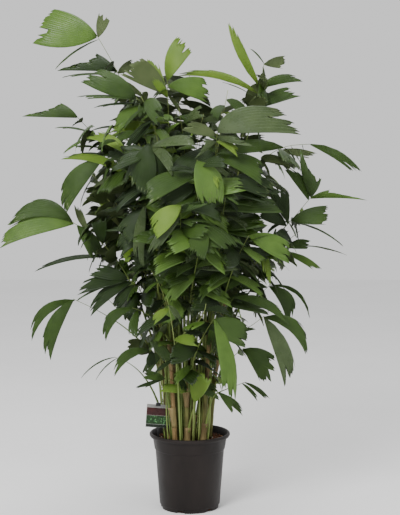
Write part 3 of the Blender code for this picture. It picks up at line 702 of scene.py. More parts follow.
def back_fronds():
    """The fronds on the far side, which the front ones hide."""
    made = []
    for k in range(BACK_FRONDS):
        turn = (BACK_LAST_DEG - BACK_FIRST_DEG) * k / (BACK_FRONDS - 1)
        angle = math.radians(BACK_FIRST_DEG + turn)
        reach, height = BACK_TIPS[k % len(BACK_TIPS)]
        tip = (reach * math.cos(angle), reach * math.sin(angle), height)
        leaves = min(BACK_LEAVES, height - 0.25)
        made.append(Frond(f"back_{k + 1}", leaves, tip, BACK_RISE, BACK_FILLING, []))
    return made


# The canes are thin fibrous stems, tan to green, in a spiral clump. Each leans outwards from
# the middle and tapers, with ring scars, dark seams and old leaf bases. A coarse shape of each
# keeps the stalks clear of it, as in the source, and a ringed tube with relief is what shows.
CANES = 15
CANE_SIDES = 8
CLUMP_RADIUS = 0.070
CLUMP_CENTRE = Vector((-0.006, -0.004, 0.0))
CLUMP_TURN = math.radians(25)
GOLDEN_ANGLE = math.radians(137.508)
CANE_SPREAD = 1.35
CANE_FLARE = 9.0 * MM
CANE_FOOT = 7.2 * MM
CANE_TOP = 4.6 * MM
FLARE_HEIGHT = 0.015
CANE_LEAST = 0.40
CROWDING = 0.03
Cane = namedtuple("Cane", "number foot height")
CANE_SEED = 21
CANE_ROUND = 22
CANE_STEP = 3.5 * MM
FIRST_SCAR = (0.01, 0.04)
SCAR_GAPS = (0.035, 0.075)
SCAR_HEIGHT = 2.2 * MM
SCAR_SWELL = 0.5 * MM
SCAR_DIP = 0.35 * MM
LEAF_BASE = 0.6 * MM
LEAF_BASE_HEIGHT = 0.03
RIDGES = ((5, 0.22 * MM), (9, 0.14 * MM))
RIDGE_TWIST = 9
STREAKS = {"scale": 150, "detail": 4, "low": 0, "high": 1, "stretch": (1, 1, 0.09)}
SEAM_PATCHES = {"scale": 22, "detail": 3, "low": -0.5, "high": 0.95, "stretch": (1, 1, 0.6)}
STEM_ROUGHNESS = {"scale": 60, "detail": 2, "low": 0.45, "high": 0.72}
THREADS = {"scale": 900, "detail": 3, "low": 0, "high": 1, "stretch": (1, 1, 0.05)}
THREAD_DEPTH = 0.6 * MM


def tube(centres, rings, sides):
    """A closed tube: each ring is a pair of arms from its centre, sized by the tube's radius."""
    points = []
    for centre, (across, over) in zip(centres, rings):
        for k in range(sides):
            angle = math.tau * k / sides
            points.append(centre + across * math.cos(angle) + over * math.sin(angle))
    return points, tube_faces(len(centres), sides)


def block(size, centre, turn=0.0):
    """A box turned about Y."""
    around = Matrix.Rotation(turn, 3, "Y")
    corners = [
        centre + around @ Vector((x * size.x / 2, y * size.y / 2, z * size.z / 2))
        for z in (-1, 1)
        for x, y in ((-1, -1), (1, -1), (1, 1), (-1, 1))
    ]
    faces = [(3, 2, 1, 0), (4, 5, 6, 7), (0, 1, 5, 4), (1, 2, 6, 5), (2, 3, 7, 6), (3, 0, 4, 7)]
    return corners, faces


def label_shapes():
    """Coarse shapes of the card, its stake and its clip, for keeping leaves clear of them."""
    card = block(Vector((LABEL_WIDTH, LABEL_THICK, LABEL_HEIGHT)), LABEL_CENTRE, LABEL_TILT)
    stake = block(Vector((STAKE_WIDTH, STAKE_THICK, stake_length)), stake_middle)
    return card, stake, block(CLIP_SIZE, clip_middle)


class Space:
    """What has been placed so far, so that a new piece can be kept clear of it."""

    def __init__(self):
        self.placed = []

    def surface(self, shape):
        points, faces = shape
        low = Vector(min(p[i] for p in points) for i in range(3))
        high = Vector(max(p[i] for p in points) for i in range(3))
        return low, high, BVHTree.FromPolygons(points, faces)

    def add(self, owner, shape):
        self.placed.append((owner, *self.surface(shape)))

    def free(self, owner, shape):
        """True if a shape crosses nothing but its owner's own pieces."""
        low, high, tree = self.surface(shape)
        for other, other_low, other_high, other_tree in self.placed:
            apart = any(low[i] > other_high[i] or high[i] < other_low[i] for i in range(3))
            if other != owner and not apart and tree.overlap(other_tree):
                return False
        return True


def cane_feet():
    """Where the canes stand on the mix, in a spiral from the middle."""
    feet = []
    for k in range(CANES):
        radius = CLUMP_RADIUS * math.sqrt((k + 0.5) / CANES)
        angle = CLUMP_TURN + k * GOLDEN_ANGLE
        feet.append(Vector((radius * math.cos(angle), radius * math.sin(angle), 0)))
    return feet


def cane_at(cane, height):
    """The middle of a cane at a height above the ground."""
    spread = 1 + CANE_SPREAD * (height - SOIL_TOP)
    spot = cane.foot * spread + CLUMP_CENTRE
    return Vector((spot.x, spot.y, height))


def cane_radius(cane, height):
    part = (height - SOIL_TOP - FLARE_HEIGHT) / (cane.height - SOIL_TOP - FLARE_HEIGHT)
    return CANE_FLARE if part < 0 else CANE_FOOT + (CANE_TOP - CANE_FOOT) * part


def cane_shape(cane):
    foot = SOIL_TOP + CLEAR
    bend = SOIL_TOP + FLARE_HEIGHT
    levels = [foot, bend, cane.height]
    radii = [CANE_FLARE, CANE_FOOT, CANE_TOP]
    rings = [(Vector((r, 0, 0)), Vector((0, r, 0))) for r in radii]
    return tube([cane_at(cane, level) for level in levels], rings, CANE_SIDES)


def share_out(fronds):
    """Gives each frond its canes in order of choice, and each cane the height of its top frond."""
    feet = cane_feet()
    carried = [[] for _ in feet]
    order = {}
    for frond in fronds:
        aim = Vector((frond.tip[0], frond.tip[1], 0)).normalized() * CLUMP_RADIUS * 0.8
        costs = [(foot - aim).length + CROWDING * len(carried[k]) for k, foot in enumerate(feet)]
        order[frond.name] = sorted(range(CANES), key=lambda k: costs[k])
        carried[order[frond.name][0]].append(frond)
    heights = [max([frond.leaves for frond in held] + [CANE_LEAST]) for held in carried]
    canes = [Cane(k, foot, height) for k, (foot, height) in enumerate(zip(feet, heights))]
    choices = {name: [canes[k] for k in ranked] for name, ranked in order.items()}
    tops = {max(held, key=lambda frond: frond.leaves).name for held in carried if held}
    return canes, choices, tops


def smooth_radius(cane, height):
    """The cane's taper with its foot flaring gently."""
    above = max(0.0, height - SOIL_TOP)
    flare = (CANE_FLARE - CANE_FOOT) * math.exp(-above / FLARE_HEIGHT * 2)
    return CANE_FOOT + (CANE_TOP - CANE_FOOT) * above / (cane.height - SOIL_TOP) + flare


def cane_surface(cane, chance):
    """Points and faces of a cane with ring scars, old leaf bases and long ridges."""
    scars = []
    scar = SOIL_TOP + chance.uniform(*FIRST_SCAR)
    while scar < cane.height:
        scars.append(scar)
        scar += chance.uniform(*SCAR_GAPS)
    count = int((cane.height - SOIL_TOP) / CANE_STEP)
    phase = chance.uniform(0, math.tau)
    (few, deep), (many, shallow) = RIDGES
    points = []
    for ring in range(count + 1):
        height = SOIL_TOP + CLEAR + (cane.height - SOIL_TOP - CLEAR) * ring / count
        centre = cane_at(cane, height)
        swell = sum(math.exp(-((height - scar) / SCAR_HEIGHT) ** 2) for scar in scars)
        dip = sum(math.exp(-((height - scar - 1.6 * SCAR_HEIGHT) / SCAR_HEIGHT) ** 2) for scar in scars)
        based = [scar for scar in scars if 0 < height - scar < LEAF_BASE_HEIGHT and int(scar * 997) % 2]
        middle = smooth_radius(cane, height) + SCAR_SWELL * swell - SCAR_DIP * dip + LEAF_BASE * len(based)
        for k in range(CANE_ROUND):
            angle = math.tau * k / CANE_ROUND
            ridge = deep * math.cos(few * angle + phase + RIDGE_TWIST * height)
            ridge += shallow * math.cos(many * angle)
            points.append(centre + Vector((math.cos(angle), math.sin(angle), 0)) * (middle + ridge))
    return points, tube_faces(count + 1, CANE_ROUND)


def cane_finish(name, first, second, seam):
    """Fibrous stem: streaks along it, dark patches and a fine thread-like relief."""
    made, tree, shader = plain_material(name, DULL)
    stem = blend_colours(tree, vary(tree, **STREAKS), first, second)
    seamed = blend_colours(tree, vary(tree, **SEAM_PATCHES), stem, seam)
    tree.links.new(seamed, shader.inputs["Base Color"])
    tree.links.new(vary(tree, **STEM_ROUGHNESS), shader.inputs["Roughness"])
    tree.links.new(relief(tree, vary(tree, **THREADS), THREAD_DEPTH), shader.inputs["Normal"])
    return made


fronds = FRONDS + back_fronds()
canes, choices, tops = share_out(fronds)
cane_chance = random.Random(CANE_SEED)
cane_finishes = [
    cane_finish("cane tan", (0.150, 0.094, 0.036), (0.260, 0.175, 0.075), (0.040, 0.022, 0.010)),
    cane_finish("cane green", (0.080, 0.095, 0.020), (0.180, 0.180, 0.054), (0.050, 0.034, 0.014)),
    cane_finish("cane brown", (0.055, 0.032, 0.015), (0.120, 0.072, 0.033), (0.020, 0.012, 0.006)),
]
for cane in canes:
    bark = cane_finishes[cane.number % len(cane_finishes)]
    stem = object_from(f"stem_{cane.number + 1}", *cane_surface(cane, cane_chance), [bark])
    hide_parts(f"cane_{cane.number + 1}")
    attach(stem, "root")

# Each frond's stalk runs on from the top of a cane or stands beside one in a split sheath, and
# thins into the rib that carries the leaflets. Its route is found by the source's rule, so that
# it keeps clear of the others, and then it is drawn round and smooth.
STALK_STEPS = 9
STALK_FOOT = 4.6 * MM
STALK_TIP = 1.9 * MM
SIDE_LEAN = math.radians(10)
STALK_ROUND = 9
STALK_FINE = 4
STALK_DRAWN = 0.92
STALK_DRAWN_TIP = 0.45
STALK_DRAWN_TAPER = 1.15
SHEATH_LENGTH = 0.060
SHEATH_ABOVE = 0.012
SHEATH_RINGS = 9
SHEATH_ROUND = 14
SHEATH_THICK = 1.1 * MM
SHEATH_OPEN = 1.15


def curve(start, start_way, end, end_way, steps):
    """Points at even steps along a bend from start to end."""
    span = (end - start).length
    a = start + start_way * span * 0.42
    b = end - end_way * span * 0.34
    fine = []
    for k in range(8 * steps + 1):
        t = k / (8 * steps)
        u = 1 - t
        fine.append(start * u**3 + a * 3 * u * u * t + b * 3 * u * t * t + end * t**3)
    lengths = [0.0]
    for before, after in zip(fine, fine[1:]):
        lengths.append(lengths[-1] + (after - before).length)
    points = []
    for k in range(steps + 1):
        wanted = lengths[-1] * k / steps
        at = min(max(i for i, value in enumerate(lengths) if value <= wanted + 1e-9), len(fine) - 2)
        part = (wanted - lengths[at]) / (lengths[at + 1] - lengths[at])
        points.append(fine[at].lerp(fine[at + 1], part))
    return points


def stalk_route(frond, cane, on_top, swing, lower):
    """The middle line of a frond's stalk and rib."""
    tip = Vector(frond.tip)
    height = cane.height if on_top else min(frond.leaves, cane.height - 0.03) - lower
    middle = cane_at(cane, height)
    away = Vector((tip.x - middle.x, tip.y - middle.y, 0)).normalized()
    away.rotate(Matrix.Rotation(swing, 3, "Z"))
    if on_top:
        start = middle + UP * CLEAR
        way = UP.copy()
    else:
        start = middle + away * (cane_radius(cane, height) + STALK_FOOT + CLEAR)
        way = (cane_at(cane, height + 0.1) - middle).normalized()
        way = (way * math.cos(SIDE_LEAN) + away * math.sin(SIDE_LEAN)).normalized()
    flat = Vector((tip.x - start.x, tip.y - start.y, 0)).normalized()
    rise = math.radians(frond.rise)
    end_way = flat * math.cos(rise) + UP * math.sin(rise)
    return curve(start, way, tip, end_way, STALK_STEPS), away


def tube_along(points, away, radii, sides):
    """A tube along a route, with one corner towards the cane."""
    rings = []
    arm = -away
    for k, radius in enumerate(radii):
        before = points[max(k - 1, 0)]
        after = points[min(k + 1, len(points) - 1)]
        way = (after - before).normalized()
        arm = (arm - way * arm.dot(way)).normalized()
        rings.append((arm * radius, way.cross(arm) * radius))
    return tube(points, rings, sides)


def stalk_shape(points, away, grown=0.0):
    """The source's three-sided stalk."""
    last = len(points) - 1
    taper = [STALK_FOOT + (STALK_TIP - STALK_FOOT) * min(1.0, 1.4 * k / last) for k in range(last + 1)]
    return tube_along(points, away, [radius + grown for radius in taper], 3)


def place_stalk(frond, canes, on_top, space):
    """The first route of a few, from the nearest cane that has room, that crosses nothing."""
    for cane in canes[:1] if on_top else canes[:6]:
        for lower in (0.0, 0.03, 0.06, 0.09):
            for swing in (0, 18, -18, 36, -36, 54, -54, 75, -75):
                route, away = stalk_route(frond, cane, on_top, math.radians(swing), lower)
                if space.free(frond.name, stalk_shape(route[1:], away, NEAR)):
                    if space.free(frond.name, stalk_shape(route, away)):
                        return route, away
    return None


def place_stalks(fronds, choices, tops, space):
    """The stalks that end their canes come first, then those that stand beside one."""
    routes = {}
    for frond in sorted(fronds, key=lambda f: f.name not in tops):
        found = place_stalk(frond, choices[frond.name], frond.name in tops, space)
        if found:
            routes[frond.name] = found
            space.add(frond.name, stalk_shape(*found))
    return routes


def along(route, back):
    """The place and direction on a route at a distance back from its tip."""
    left = back
    for k in range(len(route) - 1, 0, -1):
        step = (route[k] - route[k - 1]).length
        if left <= step or k == 1:
            way = (route[k] - route[k - 1]).normalized()
            return route[k] - way * min(left, step), way
        left -= step


def finer(route, steps):
    """The route's points joined by a smooth curve through them."""
    points = []
    for k in range(len(route) - 1):
        before = route[max(k - 1, 0)]
        after = route[min(k + 2, len(route) - 1)]
        here, there = route[k], route[k + 1]
        leave, arrive = (there - before) * 0.5, (after - here) * 0.5
        for step in range(steps):
            t = step / steps
            points.append(
                here * (2 * t**3 - 3 * t * t + 1) + leave * (t**3 - 2 * t * t + t)
                + there * (3 * t * t - 2 * t**3) + arrive * (t**3 - t * t)
            )
    return points + [route[-1]]


def stalk_surface(route, away):
    """The stalk as it is drawn: round, smooth and finer towards its tip."""
    points = finer(route, STALK_FINE)
    last = len(points) - 1
    thinner = STALK_TIP * STALK_DRAWN_TIP - STALK_FOOT
    taper = [STALK_FOOT + thinner * min(1.0, STALK_DRAWN_TAPER * k / last) for k in range(last + 1)]
    return tube_along(points, away, [radius * STALK_DRAWN for radius in taper], STALK_ROUND)


def sheath_surface(cane, route, away):
    """The split tube at the stalk's foot that holds it to its cane."""
    top = route[0].z + SHEATH_ABOVE
    side = Vector((-away.y, away.x, 0))
    centres, rings = [], []
    for k in range(SHEATH_RINGS):
        part = k / (SHEATH_RINGS - 1)
        height = max(SOIL_TOP + 2 * MM, top - SHEATH_LENGTH * (1 - part))
        open_by = STALK_FOOT * SHEATH_OPEN * part**1.6
        radius = cane_radius(cane, height) + SHEATH_THICK + open_by
        centres.append(cane_at(cane, height) + away * open_by)
        rings.append((away * radius, side * (radius - open_by * 0.8)))
    return tube(centres, rings, SHEATH_ROUND)


def join_shapes(shapes):
    """One list of points and one of faces from many shapes."""
    points, faces = [], []
    for shape in shapes:
        first = len(points)
        points += shape[0]
        faces += [tuple(first + k for k in face) for face in shape[1]]
    return points, faces


space = Space()
for shape in label_shapes():
    space.add("label", shape)
for cane in canes:
    space.add(f"cane_{cane.number}", cane_shape(cane))
routes = place_stalks(fronds, choices, tops, space)
growing = [frond for frond in fronds if frond.name in routes]
STALK_PATTERN = {"patches": 9, "roughness": 0.42, "grain": 500, "stretch": (1, 1, 0.3)}
stalk_green = finish(
    "stalk green", (0.060, 0.100, 0.018), (0.160, 0.205, 0.050), depth=0.2 * MM, **STALK_PATTERN
)
stalk_shapes = [stalk_surface(*routes[frond.name]) for frond in growing]
stalks = object_from("leaf_stalks", *join_shapes(stalk_shapes), [stalk_green])
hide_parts(*[f"frond_{frond.name}" for frond in growing])
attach(stalks, "root")

sheath_shapes = []
for frond in growing:
    route, away = routes[frond.name]
    held_by = min(choices[frond.name][:6], key=lambda cane: (cane_at(cane, route[0].z) - route[0]).length)
    sheath_shapes.append(sheath_surface(held_by, route, away))
sheath_fibre = cane_finish(
    "sheath fibre", (0.150, 0.120, 0.045), (0.260, 0.190, 0.085), (0.045, 0.028, 0.014)
)
sheaths = object_from("leaf_sheaths", *join_shapes(sheath_shapes), [sheath_fibre])
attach(sheaths, "root")

# The leaflets are wedge-shaped pleated blades, each a fan of ribs from its foot with a ragged
# end like a fish's tail. The source's rule places the named ones and those that fill in. Thin
# young stalks then rise between the canes, and finer leaflets grow within the same crown.
LOBED_MIDDLE = 0.45
MIDDLE = 0.58
LEAF_THICK = 0.012
LEAF_FOOT = 1.1 * MM
LEAF_ARCH = 0.06
LEAF_CUP = 0.10
CROWN = [
    (0.30, 0.08),
    (0.45, 0.17),
    (0.62, 0.27),
    (0.80, 0.34),
    (1.15, 0.35),
    (1.27, 0.30),
    (1.34, 0.16),
]
CROWN_DEPTH = 1.35
FILLED_LENGTH = 0.32
TIP_KEPT = 2
SEED = 7
Leaf = namedtuple("Leaf", "foot way side length width bow form hand")
Rule = namedtuple("Rule", "tries first reach off droop up out turn lengths widths forms bows open_below")
FILLING_RULE = Rule(
    tries=14,
    first=0.012,
    reach=FILLED_LENGTH,
    off=(40, 78),
    droop=(0.15, 0.85),
    up=(0.3, 0.9),
    out=(0.5, 1.0),
    turn=None,
    lengths=(0.095, 0.165),
    widths=(0.32, 0.52),
    forms=(FAN, WEDGE, WEDGE, BROAD, LOBED, SICKLE),
    bows=(0.02, 0.14),
    open_below=0.0,
)
FINE_RULE = Rule(
    tries=5,
    first=0.01,
    reach=FILLED_LENGTH + 0.05,
    off=(35, 80),
    droop=(0.0, 1.4),
    up=(0.1, 0.9),
    out=(0.3, 1.1),
    turn=(-0.6, 0.6),
    lengths=(0.055, 0.140),
    widths=(0.24, 0.46),
    forms=(FAN, WEDGE, BROAD, LOBED, SICKLE),
    bows=(0.02, 0.12),
    open_below=0.62,
)
FINE_SEED = 31
SLIM_STALKS = 120
SLIM_FROM_MIX = 80
SLIM_LEAFLETS = 10
SLIM_LOWEST = 0.27
SLIM_BELOW_TOP = 0.02
SLIM_LEVELS = (0.60, 1.27)
SLIM_TRIES = (12, 30)
SLIM_LEANS = (0.22, 0.12)
SLIM_SPREAD = 1.1
SLIM_TURN = 1.1
SLIM_REACH = (0.35, 0.88)
SLIM_DEPTH = 0.8
SLIM_RISE = (35, 75)
SLIM_STEPS = 12
SLIM_ROUND = 6
SLIM_FOOT = 2.3 * MM
SLIM_TIP = 0.7 * MM
FINE_PER_FROND = 18
BLADE_THICK = 0.45 * MM
BLADE_FOOT = 0.02
BLADE_FOOT_THICK = 1.2 * MM
BLADE_DROOP = 0.05
BLADE_TWIST = 0.35
LEAF_GLOSS = 0.3
WIDE_BLADE = 0.055
WIDE_ROWS = (0, 1, 2, 3, 4, 5, 6, 7, 8)
WIDE_COLUMNS = 20
NARROW_ROWS = (0, 2, 4, 5, 6, 7, 8)
NARROW_COLUMNS = 12
PLEAT = 0.028
TEETH = (0.03, 0.09)
SHORT_TOOTH = 0.1
SPLITS = 4
SPLIT_DEPTHS = (0.06, 0.17)
VEINS = {"Scale": 9, "Distortion": 1.5, "Detail": 2, "Paler": 0.30}
VEIN_DEPTH = 0.5 * MM
VEIN_PALE = 1.5
LEAF_DRIFT = {"scale": 24, "detail": 3, "low": 0, "high": 1}
LEAF_GLOSS_PATCHES = {"scale": 60, "detail": 2}
LEAF_SMOOTHER = 0.05
LEAF_ROUGHER = 0.1


def leaf_frame(leaf):
    """A leaflet's own axes: its normal, the way across it, the side that rises, and its hand."""
    normal = (leaf.side - leaf.way * leaf.side.dot(leaf.way)).normalized()
    across = normal.cross(leaf.way)
    outwards = UP + Vector((leaf.foot.x, leaf.foot.y, 0)).normalized() * 0.5
    rising = 1 if across.dot(outwards) > 0 else -1
    return normal, across, rising, rising if leaf.bow > LEAF_ARCH else leaf.hand


def turned_over(faces, hand):
    """The faces the other way round where a leaflet's hand mirrors them."""
    return [tuple(reversed(face)) for face in faces] if hand > 0 else faces


def leaf_shape(leaf, grown=0.0):
    """A thin arched blade, its edge sharp and its foot a small wedge inside the rib."""
    normal, across, rising, hand = leaf_frame(leaf)
    half = max(LEAF_THICK * leaf.length / 2, 0.7 * MM) + grown
    wider = 1 + 0.5 * grown / (0.01 + grown)

    def spot(part, over):
        swell = 4 * part * (1 - part) * leaf.length
        cup = LEAF_CUP * leaf.width * (2 * over) ** 2
        sideways = over * leaf.width * hand * wider + swell * leaf.bow * rising
        return (
            leaf.foot + leaf.way * part * leaf.length * wider
            + across * sideways + normal * (swell * LEAF_ARCH - cup)
        )

    edge = [spot(part, over) for part, over in leaf.form]
    middle = spot(LOBED_MIDDLE if leaf.form is LOBED else MIDDLE, 0.0)
    points = [leaf.foot + normal * LEAF_FOOT / 2, leaf.foot - normal * LEAF_FOOT / 2, *edge]
    points += [middle + normal * half, middle - normal * half]
    top, low = len(points) - 2, len(points) - 1
    faces = [(0, 2, top), (len(edge) + 1, 0, top), (2, 1, low), (1, len(edge) + 1, low)]
    faces += [(k, k + 1, top) for k in range(2, len(edge) + 1)]
    faces += [(k + 1, k, low) for k in range(2, len(edge) + 1)]
    faces += [(0, 1, 2), (1, 0, len(edge) + 1)]
    return points, turned_over(faces, hand)


def beyond_foot(leaf):
    """The same leaflet without the part next to its rib, where its neighbours meet it."""
    return leaf._replace(foot=leaf.foot + leaf.way * leaf.length * 0.3, length=leaf.length * 0.7)


def crown_radius(height):
    for (low, r_low), (high, r_high) in zip(CROWN, CROWN[1:]):
        if low <= height <= high:
            return r_low + (r_high - r_low) * (height - low) / (high - low)
    return 0.0


def in_crown(spot):
    radius = crown_radius(spot.z)
    return (spot.x**2 + (spot.y / CROWN_DEPTH) ** 2) ** 0.5 < radius


def fits(frond, leaf, space, own):
    """True if a leaflet crosses no other frond, nor its neighbours beyond their feet."""
    if own.free(None, leaf_shape(beyond_foot(leaf))):
        return space.free(frond.name, leaf_shape(leaf, NEAR))
    return False


def put(frond, leaf, space, own):
    own.add("leaflet", leaf_shape(beyond_foot(leaf)))
    space.add(frond.name, leaf_shape(leaf))
    return leaf


def named_leaflets(frond, route, space, own):
    """The leaflets that give the crown its outline, tilted until they cross nothing."""
    grown = []
    for k, (back, aim, length, width, bow, side, form) in enumerate(frond.leaflets):
        foot = along(route, max(back, TIP_KEPT) * MM)[0]
        flat = Vector((math.cos(math.radians(aim)), 0, math.sin(math.radians(aim))))
        for lean in (0, 7, -7, 14, -14, 21, -21, 28, -28, 35, -35):
            way = flat * math.cos(math.radians(lean)) - AHEAD * math.sin(math.radians(lean))
            leaf = Leaf(foot, way, side, length * MM, width * MM, bow / 100, form, hand_of(k))
            if fits(frond, leaf, space, own):
                grown.append(put(frond, leaf, space, own))
                break
    return grown


def hand_of(k):
    return 1 if k % 2 else -1


def filling_leaflets(frond, route, count, rule, space, own, chance):
    """Leaflets on both sides of the rib that hang outwards and stay inside the crown."""
    grown = []
    for k in range(count):
        for _ in range(rule.tries):
            foot, rib = along(route, rule.first + rule.reach * (k + chance.random()) / count)
            side_way = rib.cross(UP).normalized() * hand_of(k)
            outwards = Vector((foot.x, foot.y, 0)).normalized()
            off = math.radians(chance.uniform(*rule.off))
            way = rib * math.cos(off) + side_way * math.sin(off) - UP * chance.uniform(*rule.droop)
            way.normalize()
            side = UP * chance.uniform(*rule.up) + outwards * chance.uniform(*rule.out)
            if rule.turn:
                side += rib.cross(UP) * chance.uniform(*rule.turn)
            length = chance.uniform(*rule.lengths)
            width = length * chance.uniform(*rule.widths)
            form = chance.choice(rule.forms)
            bow = chance.uniform(*rule.bows)
            leaf = Leaf(foot, way, side, length, width, bow, form, chance.choice((-1, 1)))
            left_open = foot.z < rule.open_below and k % 3
            if not left_open and in_crown(foot + way * length) and fits(frond, leaf, space, own):
                grown.append(put(frond, leaf, space, own))
                break
    return grown


def place_leaflets(fronds, routes, space):
    """All the named leaflets have their places before the rule fills in between."""
    own = {frond.name: Space() for frond in fronds}
    chance = random.Random(SEED)
    leaves = {}
    for frond in fronds:
        route = routes[frond.name][0]
        leaves[frond.name] = named_leaflets(frond, route, space, own[frond.name])
    for frond in fronds:
        route = routes[frond.name][0]
        held = own[frond.name]
        leaves[frond.name] += filling_leaflets(frond, route, frond.filling, FILLING_RULE, space, held, chance)
    return leaves


def bent(first, middle, last, t):
    """A point on the curve from first to last that passes through middle."""
    near_part = np.linalg.norm(middle - first)
    at = near_part / (near_part + np.linalg.norm(last - middle))
    pull = (middle - first * (1 - at) ** 2 - last * at**2) / (2 * at * (1 - at))
    return first * (1 - t) ** 2 + pull * 2 * t * (1 - t) + last * t**2


def blade(leaf, chance):
    """Points, faces and leaf coordinates of a thin pleated blade with a ragged end."""
    wide = leaf.width > WIDE_BLADE
    columns = WIDE_COLUMNS if wide else NARROW_COLUMNS
    rows = WIDE_ROWS if wide else NARROW_ROWS
    normal, across, rising, hand = leaf_frame(leaf)
    foot, *edge = [np.array(spot) for spot in [(0.0, 0.0), *leaf.form]]
    thin = BLADE_FOOT_THICK / leaf.width
    droop = chance.uniform(0.0, BLADE_DROOP)
    twist = chance.uniform(-BLADE_TWIST, BLADE_TWIST)
    teeth = [-chance.uniform(*TEETH) * (1.0 if k % 2 else SHORT_TOOTH) for k in range(columns + 1)]
    for _ in range(SPLITS):
        split = chance.randrange(1, columns - 1)
        teeth[split] -= chance.uniform(*SPLIT_DEPTHS)
        teeth[split + 1] -= chance.uniform(0, TEETH[1])
    points, places = [], []
    for face in (1, -1):
        for row in rows:
            u = BLADE_FOOT + (1 - BLADE_FOOT) * row / rows[-1]
            left = bent(foot + (0, thin), edge[0], edge[1], u)
            right = bent(foot - (0, thin), edge[4], edge[3], u)
            for column in range(columns + 1):
                v = column / columns
                end = bent(edge[1], edge[2], edge[3], v)
                inner = left * (1 - v) + right * v
                inner = inner + (end - edge[1] * (1 - v) - edge[3] * v) * u * u
                part = inner[0] * (1 + teeth[column] * u**5)
                over = inner[1]
                swell = 4 * part * (1 - part) * leaf.length
                cup = LEAF_CUP * leaf.width * (2 * over) ** 2
                pleat = PLEAT * leaf.width * (1 if column % 2 else -1) * u**0.7
                lift = swell * LEAF_ARCH - cup + pleat + over * leaf.width * hand * math.sin(twist * u)
                lift += face * BLADE_THICK / 2
                sideways = over * leaf.width * hand + swell * leaf.bow * rising
                spot = leaf.foot + leaf.way * part * leaf.length + across * sideways + normal * lift
                points.append(spot - UP * droop * u * u * leaf.length)
                places.append((v, u))
    step = columns + 1
    half = step * len(rows)
    faces, sides = [], []
    for first in range(0, half - step, step):
        for a in range(first, first + columns):
            quad = (a, a + 1, a + 1 + step, a + step)
            faces += [quad, tuple(half + k for k in reversed(quad))]
            sides += [0, 1]
    rim = list(range(0, half - step, step)) + list(range(half - step, half))
    rim += list(range(half - step - 1, columns, -step)) + list(range(columns, 0, -1))
    for a, b in zip(rim, rim[1:] + rim[:1]):
        faces.append((a, b, half + b, half + a))
        sides.append(0)
    return points, turned_over(faces, -hand), places, sides


LEAF_TONES = {
    # The dark tone is partly the leaves' own older green and partly painted shade for leaflets deep in the
    # crown.
    "d": ("leaf dark", (0.008, 0.019, 0.003), (0.016, 0.035, 0.005), 0.34),
    "m": ("leaf mid", (0.018, 0.041, 0.005), (0.034, 0.070, 0.009), 0.36),
    # The light tone is partly the leaves' own paler green and partly painted light: a lit copy of the mid
    # green for leaflets facing the lamps.
    "l": ("leaf light", (0.047, 0.098, 0.013), (0.078, 0.148, 0.022), 0.38),
    "f": ("leaf fresh", (0.082, 0.155, 0.014), (0.130, 0.215, 0.024), 0.40),
    # The sheen tone is painted sheen: a grey-green colour standing in for the gloss that the dark leaves
    # catch.
    "s": ("leaf sheen", (0.034, 0.056, 0.018), (0.056, 0.084, 0.030), 0.27),
    "u": ("leaf turned", (0.120, 0.135, 0.066), (0.165, 0.178, 0.092), 0.50),
}
UNDERSIDE = ("leaf underside", (0.055, 0.082, 0.025), (0.090, 0.120, 0.044), 0.55)
# In the tone letters, d is the dark tone with painted shade, l the light tone with painted light and s
# painted sheen.
NAMED_TONES = {
    "top_left": "lumdum",
    "upper_left_fan": "mmdl",
    "left_upper": "mmlmmdd",
    "left_drooping": "mfd",
    "left_wide": "mlmmdd",
    "left_lower_fan": "ddmdd",
    "left_low_long": "mm",
    "left_low_inner": "m",
    "low_left_arch": "md",
    "low_left_thin": "mm",
    "low_left_small": "md",
    "top_centre": "flff",
    "top_right": "mufmmfmmm",
    "front_fan": "su",
    "right_upper": "mum",
    "right_middle": "mlm",
    "right_middle_inner": "mmmddd",
    "right_lower": "mml",
    "right_front": "l",
    "right_arch": "mmm",
    "right_low_front": "m",
    "right_low_fan": "sm",
    "right_low_inner": "mm",
    "front_low_long": "lm",
    "low_right_small": "mm",
    "low_right_thin": "mm",
    "sprout": "f",
    "front_left_dark": "dd",
    "front_middle": "l",
    "front_bright": "f",
    "front_centre": "m",
    "left_front": "sdd",
    "right_front_dark": "d",
}
# The filling leaflets are dealt these tones at random, most often the dark tone with painted shade or the mid
# green, now and then painted light or painted sheen.
SPRAY_TONES = "ddddmmmmlfs"


def vein_effect():
    """Fine veins along a blade's pleats: a height for their relief and a mask for their tone."""
    group, given, result = effect("leaf_veins", tuple(VEINS), ("Height", "Mask"))
    place = group.nodes.new("ShaderNodeUVMap")
    place.uv_map = "Blade"
    wave = group.nodes.new("ShaderNodeTexWave")
    paler = group.nodes.new("ShaderNodeMapRange")
    for start, end in (
        (place.outputs["UV"], wave.inputs["Vector"]),
        (given["Scale"], wave.inputs["Scale"]),
        (given["Distortion"], wave.inputs["Distortion"]),
        (given["Detail"], wave.inputs["Detail"]),
        (wave.outputs["Fac"], paler.inputs["Value"]),
        (given["Paler"], paler.inputs["To Max"]),
        (wave.outputs["Fac"], result["Height"]),
        (paler.outputs["Result"], result["Mask"]),
    ):
        group.links.new(start, end)
    return group


leaf_veins = vein_effect()


def leaf_finish(name, first, second, roughness):
    """A leathery blade with fine veins along its pleats and a slow drift of tone."""
    made, tree, shader = plain_material(name, LEAF_GLOSS)
    veins = placed(tree, leaf_veins, **VEINS)
    tone = blend_colours(tree, vary(tree, **LEAF_DRIFT), first, second)
    pale = tuple(min(1.0, value * VEIN_PALE) for value in second)
    tree.links.new(blend_colours(tree, veins["Mask"], tone, pale), shader.inputs["Base Color"])
    limits = {"low": roughness - LEAF_SMOOTHER, "high": roughness + LEAF_ROUGHER}
    tree.links.new(vary(tree, **LEAF_GLOSS_PATCHES, **limits), shader.inputs["Roughness"])
    tree.links.new(relief(tree, veins["Height"], VEIN_DEPTH), shader.inputs["Normal"])
    return made


